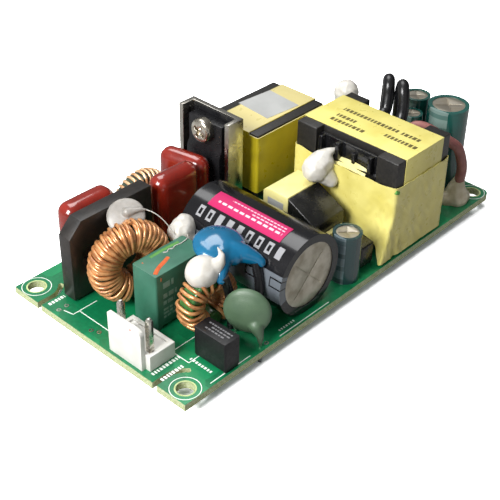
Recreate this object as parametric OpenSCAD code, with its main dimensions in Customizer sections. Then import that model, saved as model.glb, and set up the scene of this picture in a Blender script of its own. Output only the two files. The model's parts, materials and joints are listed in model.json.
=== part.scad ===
// Open frame power supply on a 2 x 4 inch circuit board.
// Millimetres. X runs from the mains end to the output end, Y across the board, Z up.
// Z = 0 is the tips of the trimmed leads under the board, X = Y = 0 the board's centre.

/* [Circuit board] */
// Length of the board
board_l = 101.6; // [101.6:0.1:110]
// Width of the board
board_w = 50.8; // [50.8:0.1:60]
// Thickness of the board
board_t = 1.6; // [1:0.1:2.4]
// Distance of each mounting hole's centre from the two nearest edges
hole_inset = 3.18; // [3.1:0.01:3.4]
// Diameter of the mounting holes
hole_d = 3.6; // [3:0.1:4]
// Radius of the two corners at the output end
corner_r = 2; // [0.5:0.1:3]
// Width of the isolation slots beside the mains-end holes
slot_w = 1.2; // [0.8:0.1:1.6]
// Radius on which the slots turn round the holes
slot_r = 5; // [4.6:0.1:5.6]
// How far the trimmed leads stand out under the board
lead_drop = 2.2; // [1.8:0.1:3]
// Diameter of a solder joint at the board
joint_d = 2.2; // [1.6:0.1:2.4]

/* [Headers] */
// Pitch of the header pins
pin_pitch = 3.96; // [3.9:0.01:4.1]
// Width of a square header pin
pin_w = 1.14; // [0.8:0.01:1.2]
// Height of the header pins above the board
pin_h = 10.9; // [9:0.1:12]
// Height of a header's base block
header_h = 3.6; // [3:0.1:4.5]
// Depth of a header's base block
header_depth = 6.5; // [6:0.1:7]
// Height of a header's lock wall
lock_h = 10.4; // [8:0.1:11]
// Thickness of a header's lock wall
lock_t = 1; // [0.8:0.1:1.2]
// Distance of a header's lock wall from the board's end
header_edge = 0.7; // [0.3:0.1:1]
// Distance of the header pins from the lock wall's outer face
header_pin_x = 2.9; // [2.8:0.1:3.6]
// Number of pin places on the mains header, whose middle place is empty
inlet_places = 3; // [3:1:3]
// Number of pins on the output header
outlet_pins = 3; // [2:1:3]
// Position of the mains header's middle along the board's width
inlet_y = -8.4; // [-9:0.1:-8]
// Position of the output header's middle along the board's width
outlet_y = 6.2; // [5.8:0.1:6.8]

/* [Mains parts] */
// Length of the box fuse
fuse_l = 8.3; // [8:0.1:8.6]
// Width of the box fuse
fuse_w = 4.1; // [3.8:0.1:4.3]
// Height of the box fuse
fuse_h = 7.2; // [6.5:0.1:8]
// Diameter of the inrush thermistor's disc
ntc_d = 8.4; // [7.6:0.1:8.4]
// Thickness of the inrush thermistor's disc
ntc_t = 4.4; // [3.6:0.1:4.6]
// Length of the X capacitor
xcap_l = 13.7; // [13:0.1:14]
// Width of the X capacitor
xcap_w = 6.8; // [6:0.1:6.9]
// Height of the X capacitor
xcap_h = 13.3; // [12:0.1:13.3]
// Length of the bridge rectifier
bridge_l = 21.8; // [21:0.1:22]
// Height of the bridge rectifier's body
bridge_h = 18.1; // [17:0.1:18.3]
// Thickness of the bridge rectifier
bridge_t = 3.4; // [3:0.1:3.5]
// Chamfer that marks the bridge rectifier's plus end
bridge_chamfer = 3.2; // [2.5:0.1:3.5]
// Pitch of the bridge rectifier's leads
bridge_pitch = 5.08; // [4.9:0.01:5.1]

/* [Toroid chokes] */
// Mean radius of the main choke
main_r = 5.7; // [5.5:0.1:5.8]
// Radius of the main choke's wound section
main_section = 3.35; // [3.2:0.05:3.4]
// Turns on each half of the main choke
main_turns = 15; // [10:1:18]
// Mean radius of the small choke
small_r = 4.5; // [4.4:0.1:4.6]
// Half width of the small choke's core, across its ring
small_core = 1.45; // [1.3:0.05:1.5]
// Turns on each half of the small choke
small_turns = 7; // [5:1:8]
// Diameter of the choke wire
wire_d = 0.8; // [0.6:0.05:0.85]
// Mean radius of the rear choke
rear_r = 5.4; // [5.2:0.1:5.6]
// Radius of the rear choke's wound section
rear_section = 2.7; // [2.5:0.05:2.8]
// Turns on the rear choke
rear_turns = 26; // [18:1:30]
// How far the windings' ridges stand up
ridge = 0.35; // [0.2:0.05:0.4]

/* [Capacitors] */
// Diameter of the bulk capacitor's can
bulk_d = 17.6; // [17:0.1:17.7]
// Length of the bulk capacitor
bulk_l = 28.5; // [26:0.1:29]
// Diameter of the small electrolytic
elco_d = 6.3; // [5:0.1:6.4]
// Height of the small electrolytic
elco_h = 11.5; // [10:0.1:13]
// Thickness of the capacitors' sleeves
sleeve_t = 0.15; // [0.1:0.01:0.2]
// Thickness of the printed label on the bulk capacitor
label_t = 0.08; // [0.05:0.01:0.1]
// Diameter of the blue capacitor's disc
disc_d = 10.4; // [9.8:0.1:10.6]
// Thickness of the blue capacitor's disc
disc_t = 4; // [3.6:0.1:4.2]
// Diameter of the sleeved leads of the blue capacitor
disc_sleeve_d = 1.5; // [1.2:0.1:1.6]
// Diameter of the blue disc at the output end
output_disc_d = 8; // [7:0.1:8.4]
// Thickness of the blue disc at the output end
output_disc_t = 3.6; // [3:0.1:4]
// Diameter of the drum choke
drum_d = 4.2; // [3.6:0.1:4.4]
// Height of the drum choke
drum_h = 5.6; // [4.6:0.1:6.6]
// Diameters of the output electrolytics
out_d = [9.6, 6.3, 5]; // [3:0.1:9.7]
// Heights of the output electrolytics
out_h = [21.2, 20.3, 18.6]; // [12:0.1:22]

/* [Heat sink] */
// Width of the bracket's back panel
sink_w = 15.2; // [15:0.1:15.4]
// Height of the bracket
sink_h = 25.8; // [24:0.1:27]
// Thickness of the bracket's sheet
sink_t = 1.2; // [1:0.1:1.3]
// Depth of the bracket's two side flanges
flange_depth = 3.4; // [3:0.1:3.6]
// Width of the transistor's body
device_w = 10.2; // [9.8:0.1:10.4]
// Height of the transistor's body
device_h = 15.9; // [15:0.1:16]
// Thickness of the transistor's body below its step
device_t = 4.6; // [4.4:0.1:4.6]
// Thickness of the transistor's body at its screw
device_tab_t = 2.7; // [2.4:0.1:3]
// Diameter of the clamping screw's head
screw_head_d = 5.6; // [5:0.1:6]
// Diameter of the clamping screw's thread
screw_d = 3; // [2.5:0.1:3.1]

/* [Boost choke] */
// Length of the boost choke
boost_l = 22.8; // [22:0.1:23]
// Width of the boost choke
boost_w = 16; // [15.6:0.1:16.2]
// Height of the boost choke
boost_h = 20.5; // [19:0.1:22]
// Width of the bare ferrite strips along its top
boost_strip = 2.8; // [2:0.1:3.4]
// Thickness of its wrap
boost_wrap_t = 0.3; // [0.2:0.05:0.4]

/* [Main transformer] */
// Length of the transformer's core, across the board
core_l = 27.3; // [27:0.1:27.4]
// Width of the transformer's core
core_w = 18.8; // [18.4:0.1:19]
// Height of the transformer's core above the board
core_top = 24; // [23:0.1:25]
// Thickness of the core's top and bottom plates
core_plate = 4.6; // [4:0.1:5]
// Width of the core's plates and of the tape round them
plate_w = 13.3; // [12:0.1:14]
// Length of each of the core's end legs
core_leg = 5.4; // [4:0.1:5.6]
// Diameter of the core's centre post
post_d = 11; // [10:0.1:11.6]
// Thickness of the core's tape
tape_t = 0.2; // [0.1:0.05:0.25]
// Thickness of the transformer's outer wrap
wrap_t = 0.35; // [0.25:0.05:0.4]
// Height of the outer wrap's top edge above the board
wrap_h = 18.3; // [17:0.1:19]

/* [Auxiliary transformer] */
// Length of the auxiliary transformer, along the board
aux_l = 10.4; // [10:0.1:10.6]
// Width of its wound part
aux_wound = 7; // [6.5:0.1:7.2]
// Width of its core
aux_core = 7.6; // [7:0.1:7.8]
// Height of the auxiliary transformer
aux_h = 14; // [13:0.1:14.5]

/* [Sleeved leads] */
// Diameter of the two black sleeved leads
black_d = 2.7; // [2.2:0.1:2.8]
// Diameter of the pink sleeved lead
pink_d = 2.4; // [2:0.1:2.5]

/* [Hidden] */
// General fit values
seat = 0.02;                 // Air left between two pieces that touch
gap = 0.1;                   // Air left between a winding and its core
top = lead_drop + board_t;   // Height of the board's upper face
half_l = board_l / 2;
half_w = board_w / 2;
fine = 48;                   // Smoothness of round pieces
coarse = 20;                 // Smoothness of blended pieces

// Where each part stands on the board, from the board's centre
header_l = (inlet_places - 1) * pin_pitch + 3.9;
outlet_l = (outlet_pins - 1) * pin_pitch + 3.9;
inlet_x = -half_l + header_edge;
outlet_x = half_l - header_edge;
fuse_at = [-37.8, -20.8];
ntc_at = [-29.2, -20.9];
ntc_z = ntc_d / 2 + 2.5;
ntc_lead_gap = 6.6;
xcap_at = [-33.2, -3.2];
bridge_at = [-34.6, 13.9];
bridge_lift = 0.5;
main_at = [-36.4, 5.2];
main_turn = 12;
main_z = main_r + main_section + ridge + 0.2;
small_at = [-32, -12.3];
small_turn = 0;
small_z = small_r + small_core + wire_d + gap + 0.1;
rear_at = [-19.2, 20.4];
rear_z = rear_r + rear_section + ridge + 0.1;
bulk_at = [-14.2, -23.4];
bulk_z = bulk_d / 2 + sleeve_t + label_t;
elco_at = [0.2, -21.4];
drum_at = [5.6, -21.6];
disc_at = [-26.9, -10.3];
disc_z = 15.6;
disc_tilt = 8;
disc_legs = [[-30.9, -15.7, 14.6], [-23.7, -17, 14.4]];
out_at = [[45.6, -13.9], [45.9, -4.9], [40.4, -7.6]];
output_disc_at = [42.6, 14.2];
output_disc_z = 13.2;
sink_at = [0.9, 16.8];
device_z = 8.2;
screw_z = 22;
boost_at = [15.7, 15.9];
boost_foot = 5.6;
core_at = [20.7, -11];
aux_at = [3.2, -6.7];
film_caps = [[[-33.4, 20.6, 8.6], [10, 5.6, 13.4]],
             [[-15.4, 14, 9.9], [9.2, 5, 14.6]],
             [[-7.85, 19.35, 8.6], [5.5, 11.9, 13.4]]];
film_r = 1.9;

// Points along the middle of each sleeved lead, from the transformer to the board
black_a_path = [[31.2, -5.6, 20.6], [32.8, -5.4, 21.6], [33.9, -4.9, 24.2], [34.6, -4.4, 26.4],
    [35.7, -3.5, 27.3], [36.8, -2.6, 26.4], [37.6, -2, 24], [38, -1.6, 19], [38.2, -1.4, 10], [38.2, -1.4, 0]];
black_b_path = [[31.2, -10.4, 20.6], [32.4, -10.2, 22.2], [33.2, -9.7, 24.8], [33.8, -9, 26.9],
    [34.8, -8, 27.8], [35.7, -7.1, 26.9], [36.2, -6.6, 24.6], [36.4, -6.4, 19], [36.4, -6.4, 10], [36.4, -6.4, 0]];
pink_path = [[31.2, -13.6, 20.2], [32.3, -14.2, 22], [33.6, -15.8, 22.9], [35.3, -18, 22],
    [37.2, -20.2, 19.4], [39.2, -21.7, 16], [40.6, -22.3, 12.4], [41.4, -22.2, 8.6], [41.7, -21.6, 4.4],
    [41.8, -21.2, 0]];
sleeve_paths = [[[-30.9, -15.8, 13.7], [-30, -15.9, 11], [-29.2, -15.9, 8], [-28.7, -15.9, 4], [-28.6, -15.9, 0]],
    [[-23.5, -17.2, 13.8], [-23.9, -18.6, 10.8], [-24.4, -19.2, 8], [-24.8, -19.3, 4], [-24.8, -19.3, 0]]];

// ---- Shared shapes ----

// A flat rectangle with round corners, centred
module round_rect(l, w, r) {
    square([l - 2 * r, w], center = true);
    square([l, w - 2 * r], center = true);
    for (x = [-1, 1], y = [-1, 1])
        translate([x * (l / 2 - r), y * (w / 2 - r)]) circle(r, $fn = fine);
}

// A block with round upright edges, standing on Z = 0
module round_block(l, w, h, r) {
    linear_extrude(height = h) round_rect(l, w, r);
}

// Puts its children on the board's upper face
module on_board(at, z = 0) {
    translate([at[0], at[1], top + z]) children();
}

// Turns a ring's axis from Z to lie across the board, with its turn about Z
module stand_ring(turn) {
    rotate([0, 0, -turn]) rotate([90, 0, 0]) children();
}

// A dipped body: every edge and corner blended
module dipped_body(l, w, h, r) {
    hull()
        for (x = [-1, 1], y = [-1, 1], z = [-1, 1])
            translate([x * (l / 2 - r), y * (w / 2 - r), z * (h / 2 - r)]) sphere(r, $fn = coarse);
}

// A coated disc on edge: a thick lens with a round rim, its axis along Z
module coated_disc(d, t) {
    rim = t * 0.36;
    rotate_extrude($fn = fine)
        difference() {
            union() {
                square([d / 2 - rim, t / 2]);
                translate([0, -t / 2]) square([d / 2 - rim, t / 2]);
                translate([d / 2 - rim, -t / 2 + rim]) square([rim, t - 2 * rim]);
                for (s = [-1, 1]) translate([d / 2 - rim, s * (t / 2 - rim)]) circle(rim, $fn = fine);
            }
            translate([-d, -d]) square([d, 2 * d]);
        }
}

// A capacitor's can, standing on Z = 0 with its scored vent at the top
module can(d, h) {
    groove = 0.25;
    difference() {
        rotate_extrude($fn = fine)
            difference() {
                square([d / 2, h]);
                translate([d / 2 + 0.1, d * 0.2 + 0.6]) circle(0.45, $fn = fine);
                translate([d / 2 - 0.3, h - 0.3]) square(1);
            }
        for (a = [0, 90])
            translate([0, 0, h - groove / 2]) rotate([0, 0, a + 45])
                cube([d * 0.66, 0.25, groove + 0.02], center = true);
    }
}

// A capacitor's shrunk sleeve round its can, turned in over the top edge
module sleeve(d, h, t) {
    lip = 0.09 * d;
    rotate_extrude($fn = fine) {
        translate([d / 2 + seat, 0]) square([t, h + t]);
        translate([d / 2 - lip, h + seat]) square([lip + seat + t, t]);
    }
}

// Catmull-Rom point between p[1] and p[2]
function blend_point(p, u) =
    0.5 * (2 * p[1] + (p[2] - p[0]) * u + (2 * p[0] - 5 * p[1] + 4 * p[2] - p[3]) * u * u
        + (3 * p[1] - p[0] - 3 * p[2] + p[3]) * u * u * u);

// The points of a route with extra rings between them
function smooth_route(path, steps) =
    let (n = len(path) - 1)
    [for (i = [0 : n - 1], s = [0 : steps - 1])
        let (q = [for (k = [-1 : 2]) path[min(max(i + k, 0), n)]])
        s == 0 ? path[i] : blend_point(q, s / steps),
     path[n]];

function unit(v) = v / norm(v);

// The rings round a route: each keeps its side direction square to the route
function route_rings(route, r, sides, side) =
    let (n = len(route) - 1)
    [for (i = [0 : n])
        let (along = i == n ? [0, 0, -1] : unit(route[min(i + 1, n)] - route[max(i - 1, 0)]),
             u = unit(cross(side, along)), v = cross(along, u))
        for (k = [0 : sides - 1]) route[i] + r * (u * cos(360 * k / sides) + v * sin(360 * k / sides))];

// The outside of a tube with a whole number of rings, closed at both ends
function tube_faces(rings, sides) = concat(
    [[for (k = [0 : sides - 1]) k]],
    [for (i = [0 : rings - 2], k = [0 : sides - 1])
        let (a = i * sides + k, b = i * sides + (k + 1) % sides)
        each [[a, a + sides, b + sides], [a, b + sides, b]]],
    [[for (k = [sides - 1 : -1 : 0]) (rings - 1) * sides + k]]);

// A sleeved lead along a route given from the board's centre and upper face
module lead(path, d, steps, side = [0.6, -0.8, 0.01]) {
    sides = 8;
    route = smooth_route(path, steps);
    translate([0, 0, top])
        polyhedron(route_rings(route, d / 2, sides, side), tube_faces(len(route), sides), convexity = 6);
}

// One sector of a toroid's winding about Z: a ridged shell over the core's section
module winding(mean_r, section, turns, from, to, hole) {
    sides = 12;
    steps = turns * 4;
    points = [for (i = [0 : steps], k = [0 : sides - 1])
        let (a = from + (to - from) * i / steps, p = 360 * k / sides,
             lift = ridge * abs(sin(180 * turns * i / steps)) * (0.65 + 0.35 * cos(p)),
             out = mean_r + (section + lift) * cos(p))
        [out * cos(a), out * sin(a), (section + lift) * sin(p)]];
    faces = tube_faces(steps + 1, sides);
    difference() {
        polyhedron(points, [for (f = faces) [for (j = [len(f) - 1 : -1 : 0]) f[j]]], convexity = 8);
        rotate_extrude($fn = fine) translate([mean_r, 0]) round_rect(hole[0] + 2 * gap, hole[1] + 2 * gap, 0.6);
    }
}

// A toroid's core about Z
module ring_core(mean_r, l, h) {
    rotate_extrude($fn = fine) translate([mean_r, 0]) round_rect(l, h, 0.5);
}

// One turn of round wire about a core section l by h, lying in the X-Z plane
module wire_turn(l, h, d) {
    bend = 0.5;
    run_l = l - 2 * bend;
    run_h = h - 2 * bend;
    out = bend + gap + d / 2;
    for (s = [0, 1]) mirror([0, 0, s]) {
        translate([-run_l / 2, 0, run_h / 2 + out]) rotate([0, 90, 0]) cylinder(d = d, h = run_l, $fn = fine);
        for (m = [0, 1]) mirror([m, 0, 0])
            translate([run_l / 2, 0, run_h / 2]) rotate([90, 0, 0])
                rotate_extrude(angle = 90, $fn = fine) translate([out, 0]) circle(d = d, $fn = fine);
    }
    for (m = [0, 1]) mirror([m, 0, 0])
        translate([run_l / 2 + out, 0, -run_h / 2]) cylinder(d = d, h = run_h, $fn = fine);
}

// ---- Circuit board ----

module hole_places() {
    for (x = [-1, 1], y = [-1, 1])
        translate([x * (half_l - hole_inset), y * (half_w - hole_inset)]) children();
}

// A slot from the mains end that turns round a corner hole
module isolation_slot() {
    run = hole_inset - 0.4;
    translate([-half_l + hole_inset, half_w - hole_inset]) {
        translate([-hole_inset - 1, -slot_r - slot_w / 2]) square([hole_inset + 1, slot_w]);
        difference() {
            circle(slot_r + slot_w / 2, $fn = fine);
            circle(slot_r - slot_w / 2, $fn = fine);
            translate([-20, -20]) square([20, 40]);
            translate([-1, -slot_r * sin(40)]) square([20, 40]);
        }
        rotate([0, 0, -40]) translate([slot_r, 0]) circle(slot_w / 2, $fn = fine);
    }
}

module circuit_board() {
    color("#1a8a50")
        translate([0, 0, lead_drop])
            linear_extrude(height = board_t)
                difference() {
                    union() {
                        translate([corner_r, 0]) round_rect(board_l - 2 * corner_r, board_w, corner_r);
                        round_rect(board_l, board_w, corner_r);
                        translate([-half_l, -half_w]) square([board_l / 2, board_w]);
                    }
                    hole_places() circle(d = hole_d, $fn = fine);
                    for (m = [0, 1]) mirror([0, m]) isolation_slot();
                }
}

// ---- Headers ----

// A pin header's housing: base block, lock wall at X = 0 and its latch
module header_housing(length, wall_l, places) {
    base_x = lock_t;
    wall_r = 1.4;
    latch = 0.8;
    difference() {
        union() {
            translate([base_x, -length / 2, 0]) cube([header_depth, length, header_h]);
            rotate([90, 0, 90]) linear_extrude(height = lock_t) {
                translate([-wall_l / 2, 0]) square([wall_l, lock_h - wall_r]);
                translate([-wall_l / 2 + wall_r, 0]) square([wall_l - wall_r, lock_h]);
                translate([-wall_l / 2 + wall_r, lock_h - wall_r]) circle(wall_r, $fn = fine);
            }
            translate([lock_t, wall_l / 2 - 4.6, lock_h]) rotate([-90, 0, 0])
                linear_extrude(height = 3.6) polygon([[0, 0.4], [latch, 1.2], [0, 2.6]]);
            for (s = [-1, 1])
                translate([base_x, s * (wall_l / 2 - 1.1) - 0.4, header_h]) cube([0.6, 0.8, 1.2]);
        }
        translate([base_x + 0.9, 0, header_h - 0.5])
            linear_extrude(height = 1) translate([header_depth / 2 - 0.9, 0])
                square([header_depth - 1.8, length - 1.8], center = true);
        for (i = places)
            translate([header_pin_x, i * pin_pitch, header_h / 2])
                cube([pin_w + 2 * seat, pin_w + 2 * seat, header_h + 1], center = true);
    }
}

// Square pins with pointed ends at the given places
module header_pins(places) {
    point = 0.8;
    for (i = places)
        translate([header_pin_x, i * pin_pitch, 0]) {
            translate([-pin_w / 2, -pin_w / 2, 0]) cube([pin_w, pin_w, pin_h - point]);
            translate([0, 0, pin_h - point]) rotate([0, 0, 45])
                cylinder(d1 = pin_w * sqrt(2), d2 = pin_w * 0.7, h = point, $fn = 4);
        }
}

inlet_pin_places = [-1, 1];
outlet_pin_places = [for (i = [0 : outlet_pins - 1]) i - (outlet_pins - 1) / 2];

module inlet_housing() {
    color("#f1efe8") on_board([inlet_x, inlet_y]) header_housing(header_l, header_l - 2.5, inlet_pin_places);
}

module inlet_pins() {
    color("#c9c6bd") on_board([inlet_x, inlet_y]) header_pins(inlet_pin_places);
}

module outlet_housing() {
    color("#f1efe8") on_board([outlet_x, outlet_y]) rotate([0, 0, 180])
        header_housing(outlet_l, outlet_l - 2.5, outlet_pin_places);
}

module outlet_pins() {
    color("#c9c6bd") on_board([outlet_x, outlet_y]) rotate([0, 0, 180]) header_pins(outlet_pin_places);
}

// ---- Mains parts ----

module fuse() {
    foot = 0.5;
    color("#3a3b40") on_board(fuse_at) {
        translate([0, 0, foot]) round_block(fuse_w, fuse_l, fuse_h - foot, 0.4);
        for (s = [-1, 1]) translate([0, s * (fuse_l / 2 - 0.5), 0]) round_block(fuse_w - 0.6, 0.8, foot, 0.2);
    }
}

module inrush_thermistor() {
    leg_d = 0.8;
    boot = ntc_z - ntc_d * 0.2 - 1.2;
    on_board(ntc_at) {
        color("#7f9f7a") {
            translate([0, 0, ntc_z]) rotate([0, 90, 0]) coated_disc(ntc_d, ntc_t);
            for (s = [-1, 1]) translate([0, s * ntc_lead_gap / 2, 1.2])
                cylinder(d1 = leg_d + 0.4, d2 = 1.9, h = boot, $fn = fine);
        }
        color("#c9c6bd") for (s = [-1, 1])
            translate([0, s * ntc_lead_gap / 2, 0]) cylinder(d = leg_d, h = 1.3, $fn = fine);
    }
}

module x_capacitor() {
    foot = 0.6;
    color("#4f9a80") on_board(xcap_at) difference() {
        round_block(xcap_l, xcap_w, xcap_h, 0.45);
        translate([0, 0, foot / 2]) cube([xcap_l - 3, xcap_w + 1, foot], center = true);
    }
}

module bridge_rectifier() {
    dimple = 0.3;
    color("#36332f") on_board([bridge_at[0], bridge_at[1] + bridge_t / 2], bridge_lift) difference() {
        rotate([90, 0, 0]) linear_extrude(height = bridge_t)
            polygon([[-bridge_l / 2, 0], [bridge_l / 2, 0], [bridge_l / 2, bridge_h],
                [-bridge_l / 2 + bridge_chamfer, bridge_h], [-bridge_l / 2, bridge_h - bridge_chamfer]]);
        for (s = [-1, 1]) translate([s * (bridge_l / 2 - 4.2), -bridge_t, bridge_h * 0.56]) rotate([90, 0, 0])
            cylinder(d = 2.6, h = 2 * dimple, center = true, $fn = fine);
    }
}

bridge_lead_x = [for (i = [0 : 3]) (i - 1.5) * bridge_pitch];

module bridge_leads() {
    color("#c9c6bd") on_board(bridge_at) for (x = bridge_lead_x)
        translate([x - 0.9, -0.3, 0]) cube([1.8, 0.6, bridge_lift - seat / 2]);
}

// ---- Toroid chokes ----

small_h = small_core * 2 + 0.8;

module small_choke_core() {
    color("#5c9a55") on_board(small_at, small_z) stand_ring(small_turn) ring_core(small_r, 2 * small_core, small_h);
}

// Half of the small choke's turns, on the side given by s
module small_choke_winding(s) {
    spread = 118;
    color("#c98a4e") on_board(small_at, small_z) stand_ring(small_turn) {
        for (i = [0 : small_turns - 1])
            rotate([0, 0, 90 + s * (180 / 2 + spread * (i / (small_turns - 1) - 0.5))])
                translate([small_r, 0, 0]) wire_turn(2 * small_core, small_h, wire_d);
    }
}

small_lead_x = small_r * 0.55;

main_core = [2 * main_section - 2.6, 2 * main_section - 2.4];

module main_choke_core() {
    color("#3c4a3c") on_board(main_at, main_z) stand_ring(main_turn) ring_core(main_r, main_core[0], main_core[1]);
}

module main_choke_winding(from, to) {
    color("#c98a4e") on_board(main_at, main_z) stand_ring(main_turn)
        winding(main_r, main_section, main_turns, from, to, main_core);
}

module main_choke_winding_a() {
    main_choke_winding(102, 258);
}

module main_choke_winding_b() {
    main_choke_winding(-78, 78);
}

rear_core = [2 * rear_section - 1.8, 2 * rear_section - 1.6];

module rear_choke_core() {
    color("#3c4a3c") on_board(rear_at, rear_z) stand_ring(0) ring_core(rear_r, rear_core[0], rear_core[1]);
}

module rear_choke_winding() {
    color("#d69a62") on_board(rear_at, rear_z) stand_ring(0)
        winding(rear_r, rear_section, rear_turns, -60, 240, rear_core);
}

// ---- Film capacitors ----

// A red dipped capacitor: place and size, with two leads along its longer side
module film_capacitor(cap) {
    place = cap[0];
    size = cap[1];
    along = size[0] > size[1] ? [1, 0] : [0, 1];
    reach = max(size[0], size[1]) / 2 - film_r;
    color("#a5301f") translate([place[0], place[1], top + place[2]])
        dipped_body(size[0], size[1], size[2], film_r);
    color("#c9c6bd") for (s = [-1, 1])
        on_board([place[0] + s * along[0] * reach, place[1] + s * along[1] * reach])
            cylinder(d = 0.7, h = place[2] - size[2] / 2 + 0.6, $fn = fine);
}

// ---- Heat sink with its transistor ----

module heat_sink() {
    color("#cfcdc6") difference() {
        on_board(sink_at) {
            linear_extrude(height = sink_h) {
                translate([-sink_t, -sink_w / 2]) square([sink_t, sink_w]);
                for (s = [-1, 1]) translate([-sink_t - flange_depth, s * (sink_w / 2 - sink_t / 2) - sink_t / 2])
                    square([flange_depth + sink_t, sink_t]);
            }
        }
        on_board([sink_at[0], sink_at[1]], screw_z) rotate([0, 90, 0])
            cylinder(d = screw_d + 0.1, h = 4 * sink_t, center = true, $fn = fine);
    }
}

device_back = sink_at[0] - sink_t - seat;

module power_transistor() {
    step_z = 8.6;
    slope = 1.4;
    color("#26262a") difference() {
        translate([0, sink_at[1] + device_w / 2, top + device_z]) rotate([90, 0, 0])
            linear_extrude(height = device_w)
                polygon([[device_back, 0], [device_back, device_h], [device_back - device_tab_t, device_h],
                    [device_back - device_tab_t, step_z + slope], [device_back - device_t, step_z],
                    [device_back - device_t, 0.4], [device_back - device_t + 0.4, 0]]);
        on_board([device_back, sink_at[1]], screw_z) rotate([0, 90, 0])
            cylinder(d = screw_d + 0.1, h = 4 * device_tab_t, center = true, $fn = fine);
    }
}

module transistor_leads() {
    x = device_back - device_t + 2;
    color("#c9c6bd") for (s = [-1, 0, 1])
        on_board([x, sink_at[1] + s * 2.54]) {
            translate([-0.25, -0.4, 0]) cube([0.5, 0.8, device_z - seat]);
            translate([-0.25, -0.7, device_z - 4]) cube([0.5, 1.4, 4 - seat]);
        }
}

module heat_sink_screw() {
    head_h = 2.1;
    seat_x = device_back - device_tab_t - seat;
    color("#d8d2c4") translate([seat_x, sink_at[1], top + screw_z]) rotate([0, 90, 0]) difference() {
        union() {
            translate([0, 0, -head_h]) rotate_extrude($fn = fine) {
                translate([0, 0.8]) square([screw_head_d / 2, head_h - 0.8]);
                square([screw_head_d / 2 - 0.8, head_h]);
                translate([screw_head_d / 2 - 0.8, 0.8]) intersection() {
                    circle(0.8, $fn = fine);
                    translate([0, -1]) square(2);
                }
            }
            cylinder(d = screw_d, h = device_tab_t + sink_t + 1.2, $fn = fine);
        }
        for (a = [0, 90]) rotate([0, 0, a + 30])
            translate([0, 0, -head_h]) cube([0.8, 3.4, 1.6], center = true);
    }
}

// ---- Boost choke ----

boost_side = boost_w - 2 * boost_wrap_t;

module boost_choke_core() {
    color("#3a3a38") on_board(boost_at, boost_foot)
        round_block(boost_l - 2 * boost_wrap_t, boost_side, boost_h - boost_foot - tape_t, 0.3);
}

module boost_choke_bobbin() {
    color("#1d1d20") on_board(boost_at) {
        translate([0, 0, 0.6]) round_block(boost_l - 1, boost_w - 0.6, boost_foot - 0.6, 0.4);
        for (x = [-1, 1]) translate([x * (boost_l / 2 - 3), 0, 0]) round_block(3, boost_w - 3, 0.7, 0.3);
    }
}

module boost_choke_wrap() {
    band = boost_w - 2 * boost_strip;
    color("#c9b92a") on_board(boost_at) {
        translate([0, 0, boost_foot + 0.1]) linear_extrude(height = boost_h - boost_foot - 0.7) difference() {
            round_rect(boost_l, boost_w, 0.6);
            round_rect(boost_l - 2 * boost_wrap_t + seat, boost_side + seat, 0.3);
        }
        translate([-boost_l / 2, -band / 2, boost_h - tape_t + seat]) cube([boost_l, band, tape_t - seat]);
        for (m = [0, 1]) mirror([m, 0, 0]) translate([boost_l / 2 - boost_wrap_t + seat / 2, -band / 2, boost_h - 1])
            cube([boost_wrap_t - seat / 2, band, 1]);
    }
}

module boost_choke_label() {
    size = 9.8;
    color("#f4f4f2") on_board([boost_at[0] + 1.5, boost_at[1] + 0.6], boost_h) rotate([0, 0, -5])
        translate([-size / 2, -size / 2, 0]) cube([size, size, label_t]);
}

// ---- Main transformer ----

core_foot = 3;               // Height of the core's underside above the board
core_end = core_l / 2 - core_leg;
window_low = core_foot + core_plate;
window_top = core_top - core_plate;
bobbin_x = core_w / 2 - 0.3;
flange_y = core_end - 0.4;

// The core: two legs at its ends, narrower plates above and below, and a round post
module transformer_core() {
    color("#3a3a38") on_board(core_at) {
        for (s = [-1, 1]) translate([-core_w / 2, s * (core_l / 2 - core_leg / 2) - core_leg / 2, core_foot])
            cube([core_w, core_leg, core_top - core_foot]);
        for (z = [core_foot, window_top])
            translate([-plate_w / 2, -core_l / 2 + 1, z]) cube([plate_w, core_l - 2, core_plate]);
        translate([0, 0, core_foot + 1]) cylinder(d = post_d, h = core_top - core_foot - 2, $fn = fine);
    }
}

// A band of tape that runs over the core's plates and down its ends
module transformer_core_tape() {
    out = core_l / 2 + tape_t;
    color("#d9cf6a") on_board([core_at[0] + plate_w / 2, core_at[1]]) rotate([90, 0, -90])
        linear_extrude(height = plate_w) difference() {
            translate([-out, core_foot - tape_t]) square([2 * out, core_top - core_foot + 2 * tape_t]);
            translate([-core_l / 2 - seat / 2, core_foot - seat / 2])
                square([core_l + seat, core_top - core_foot + seat]);
        }
}

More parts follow.
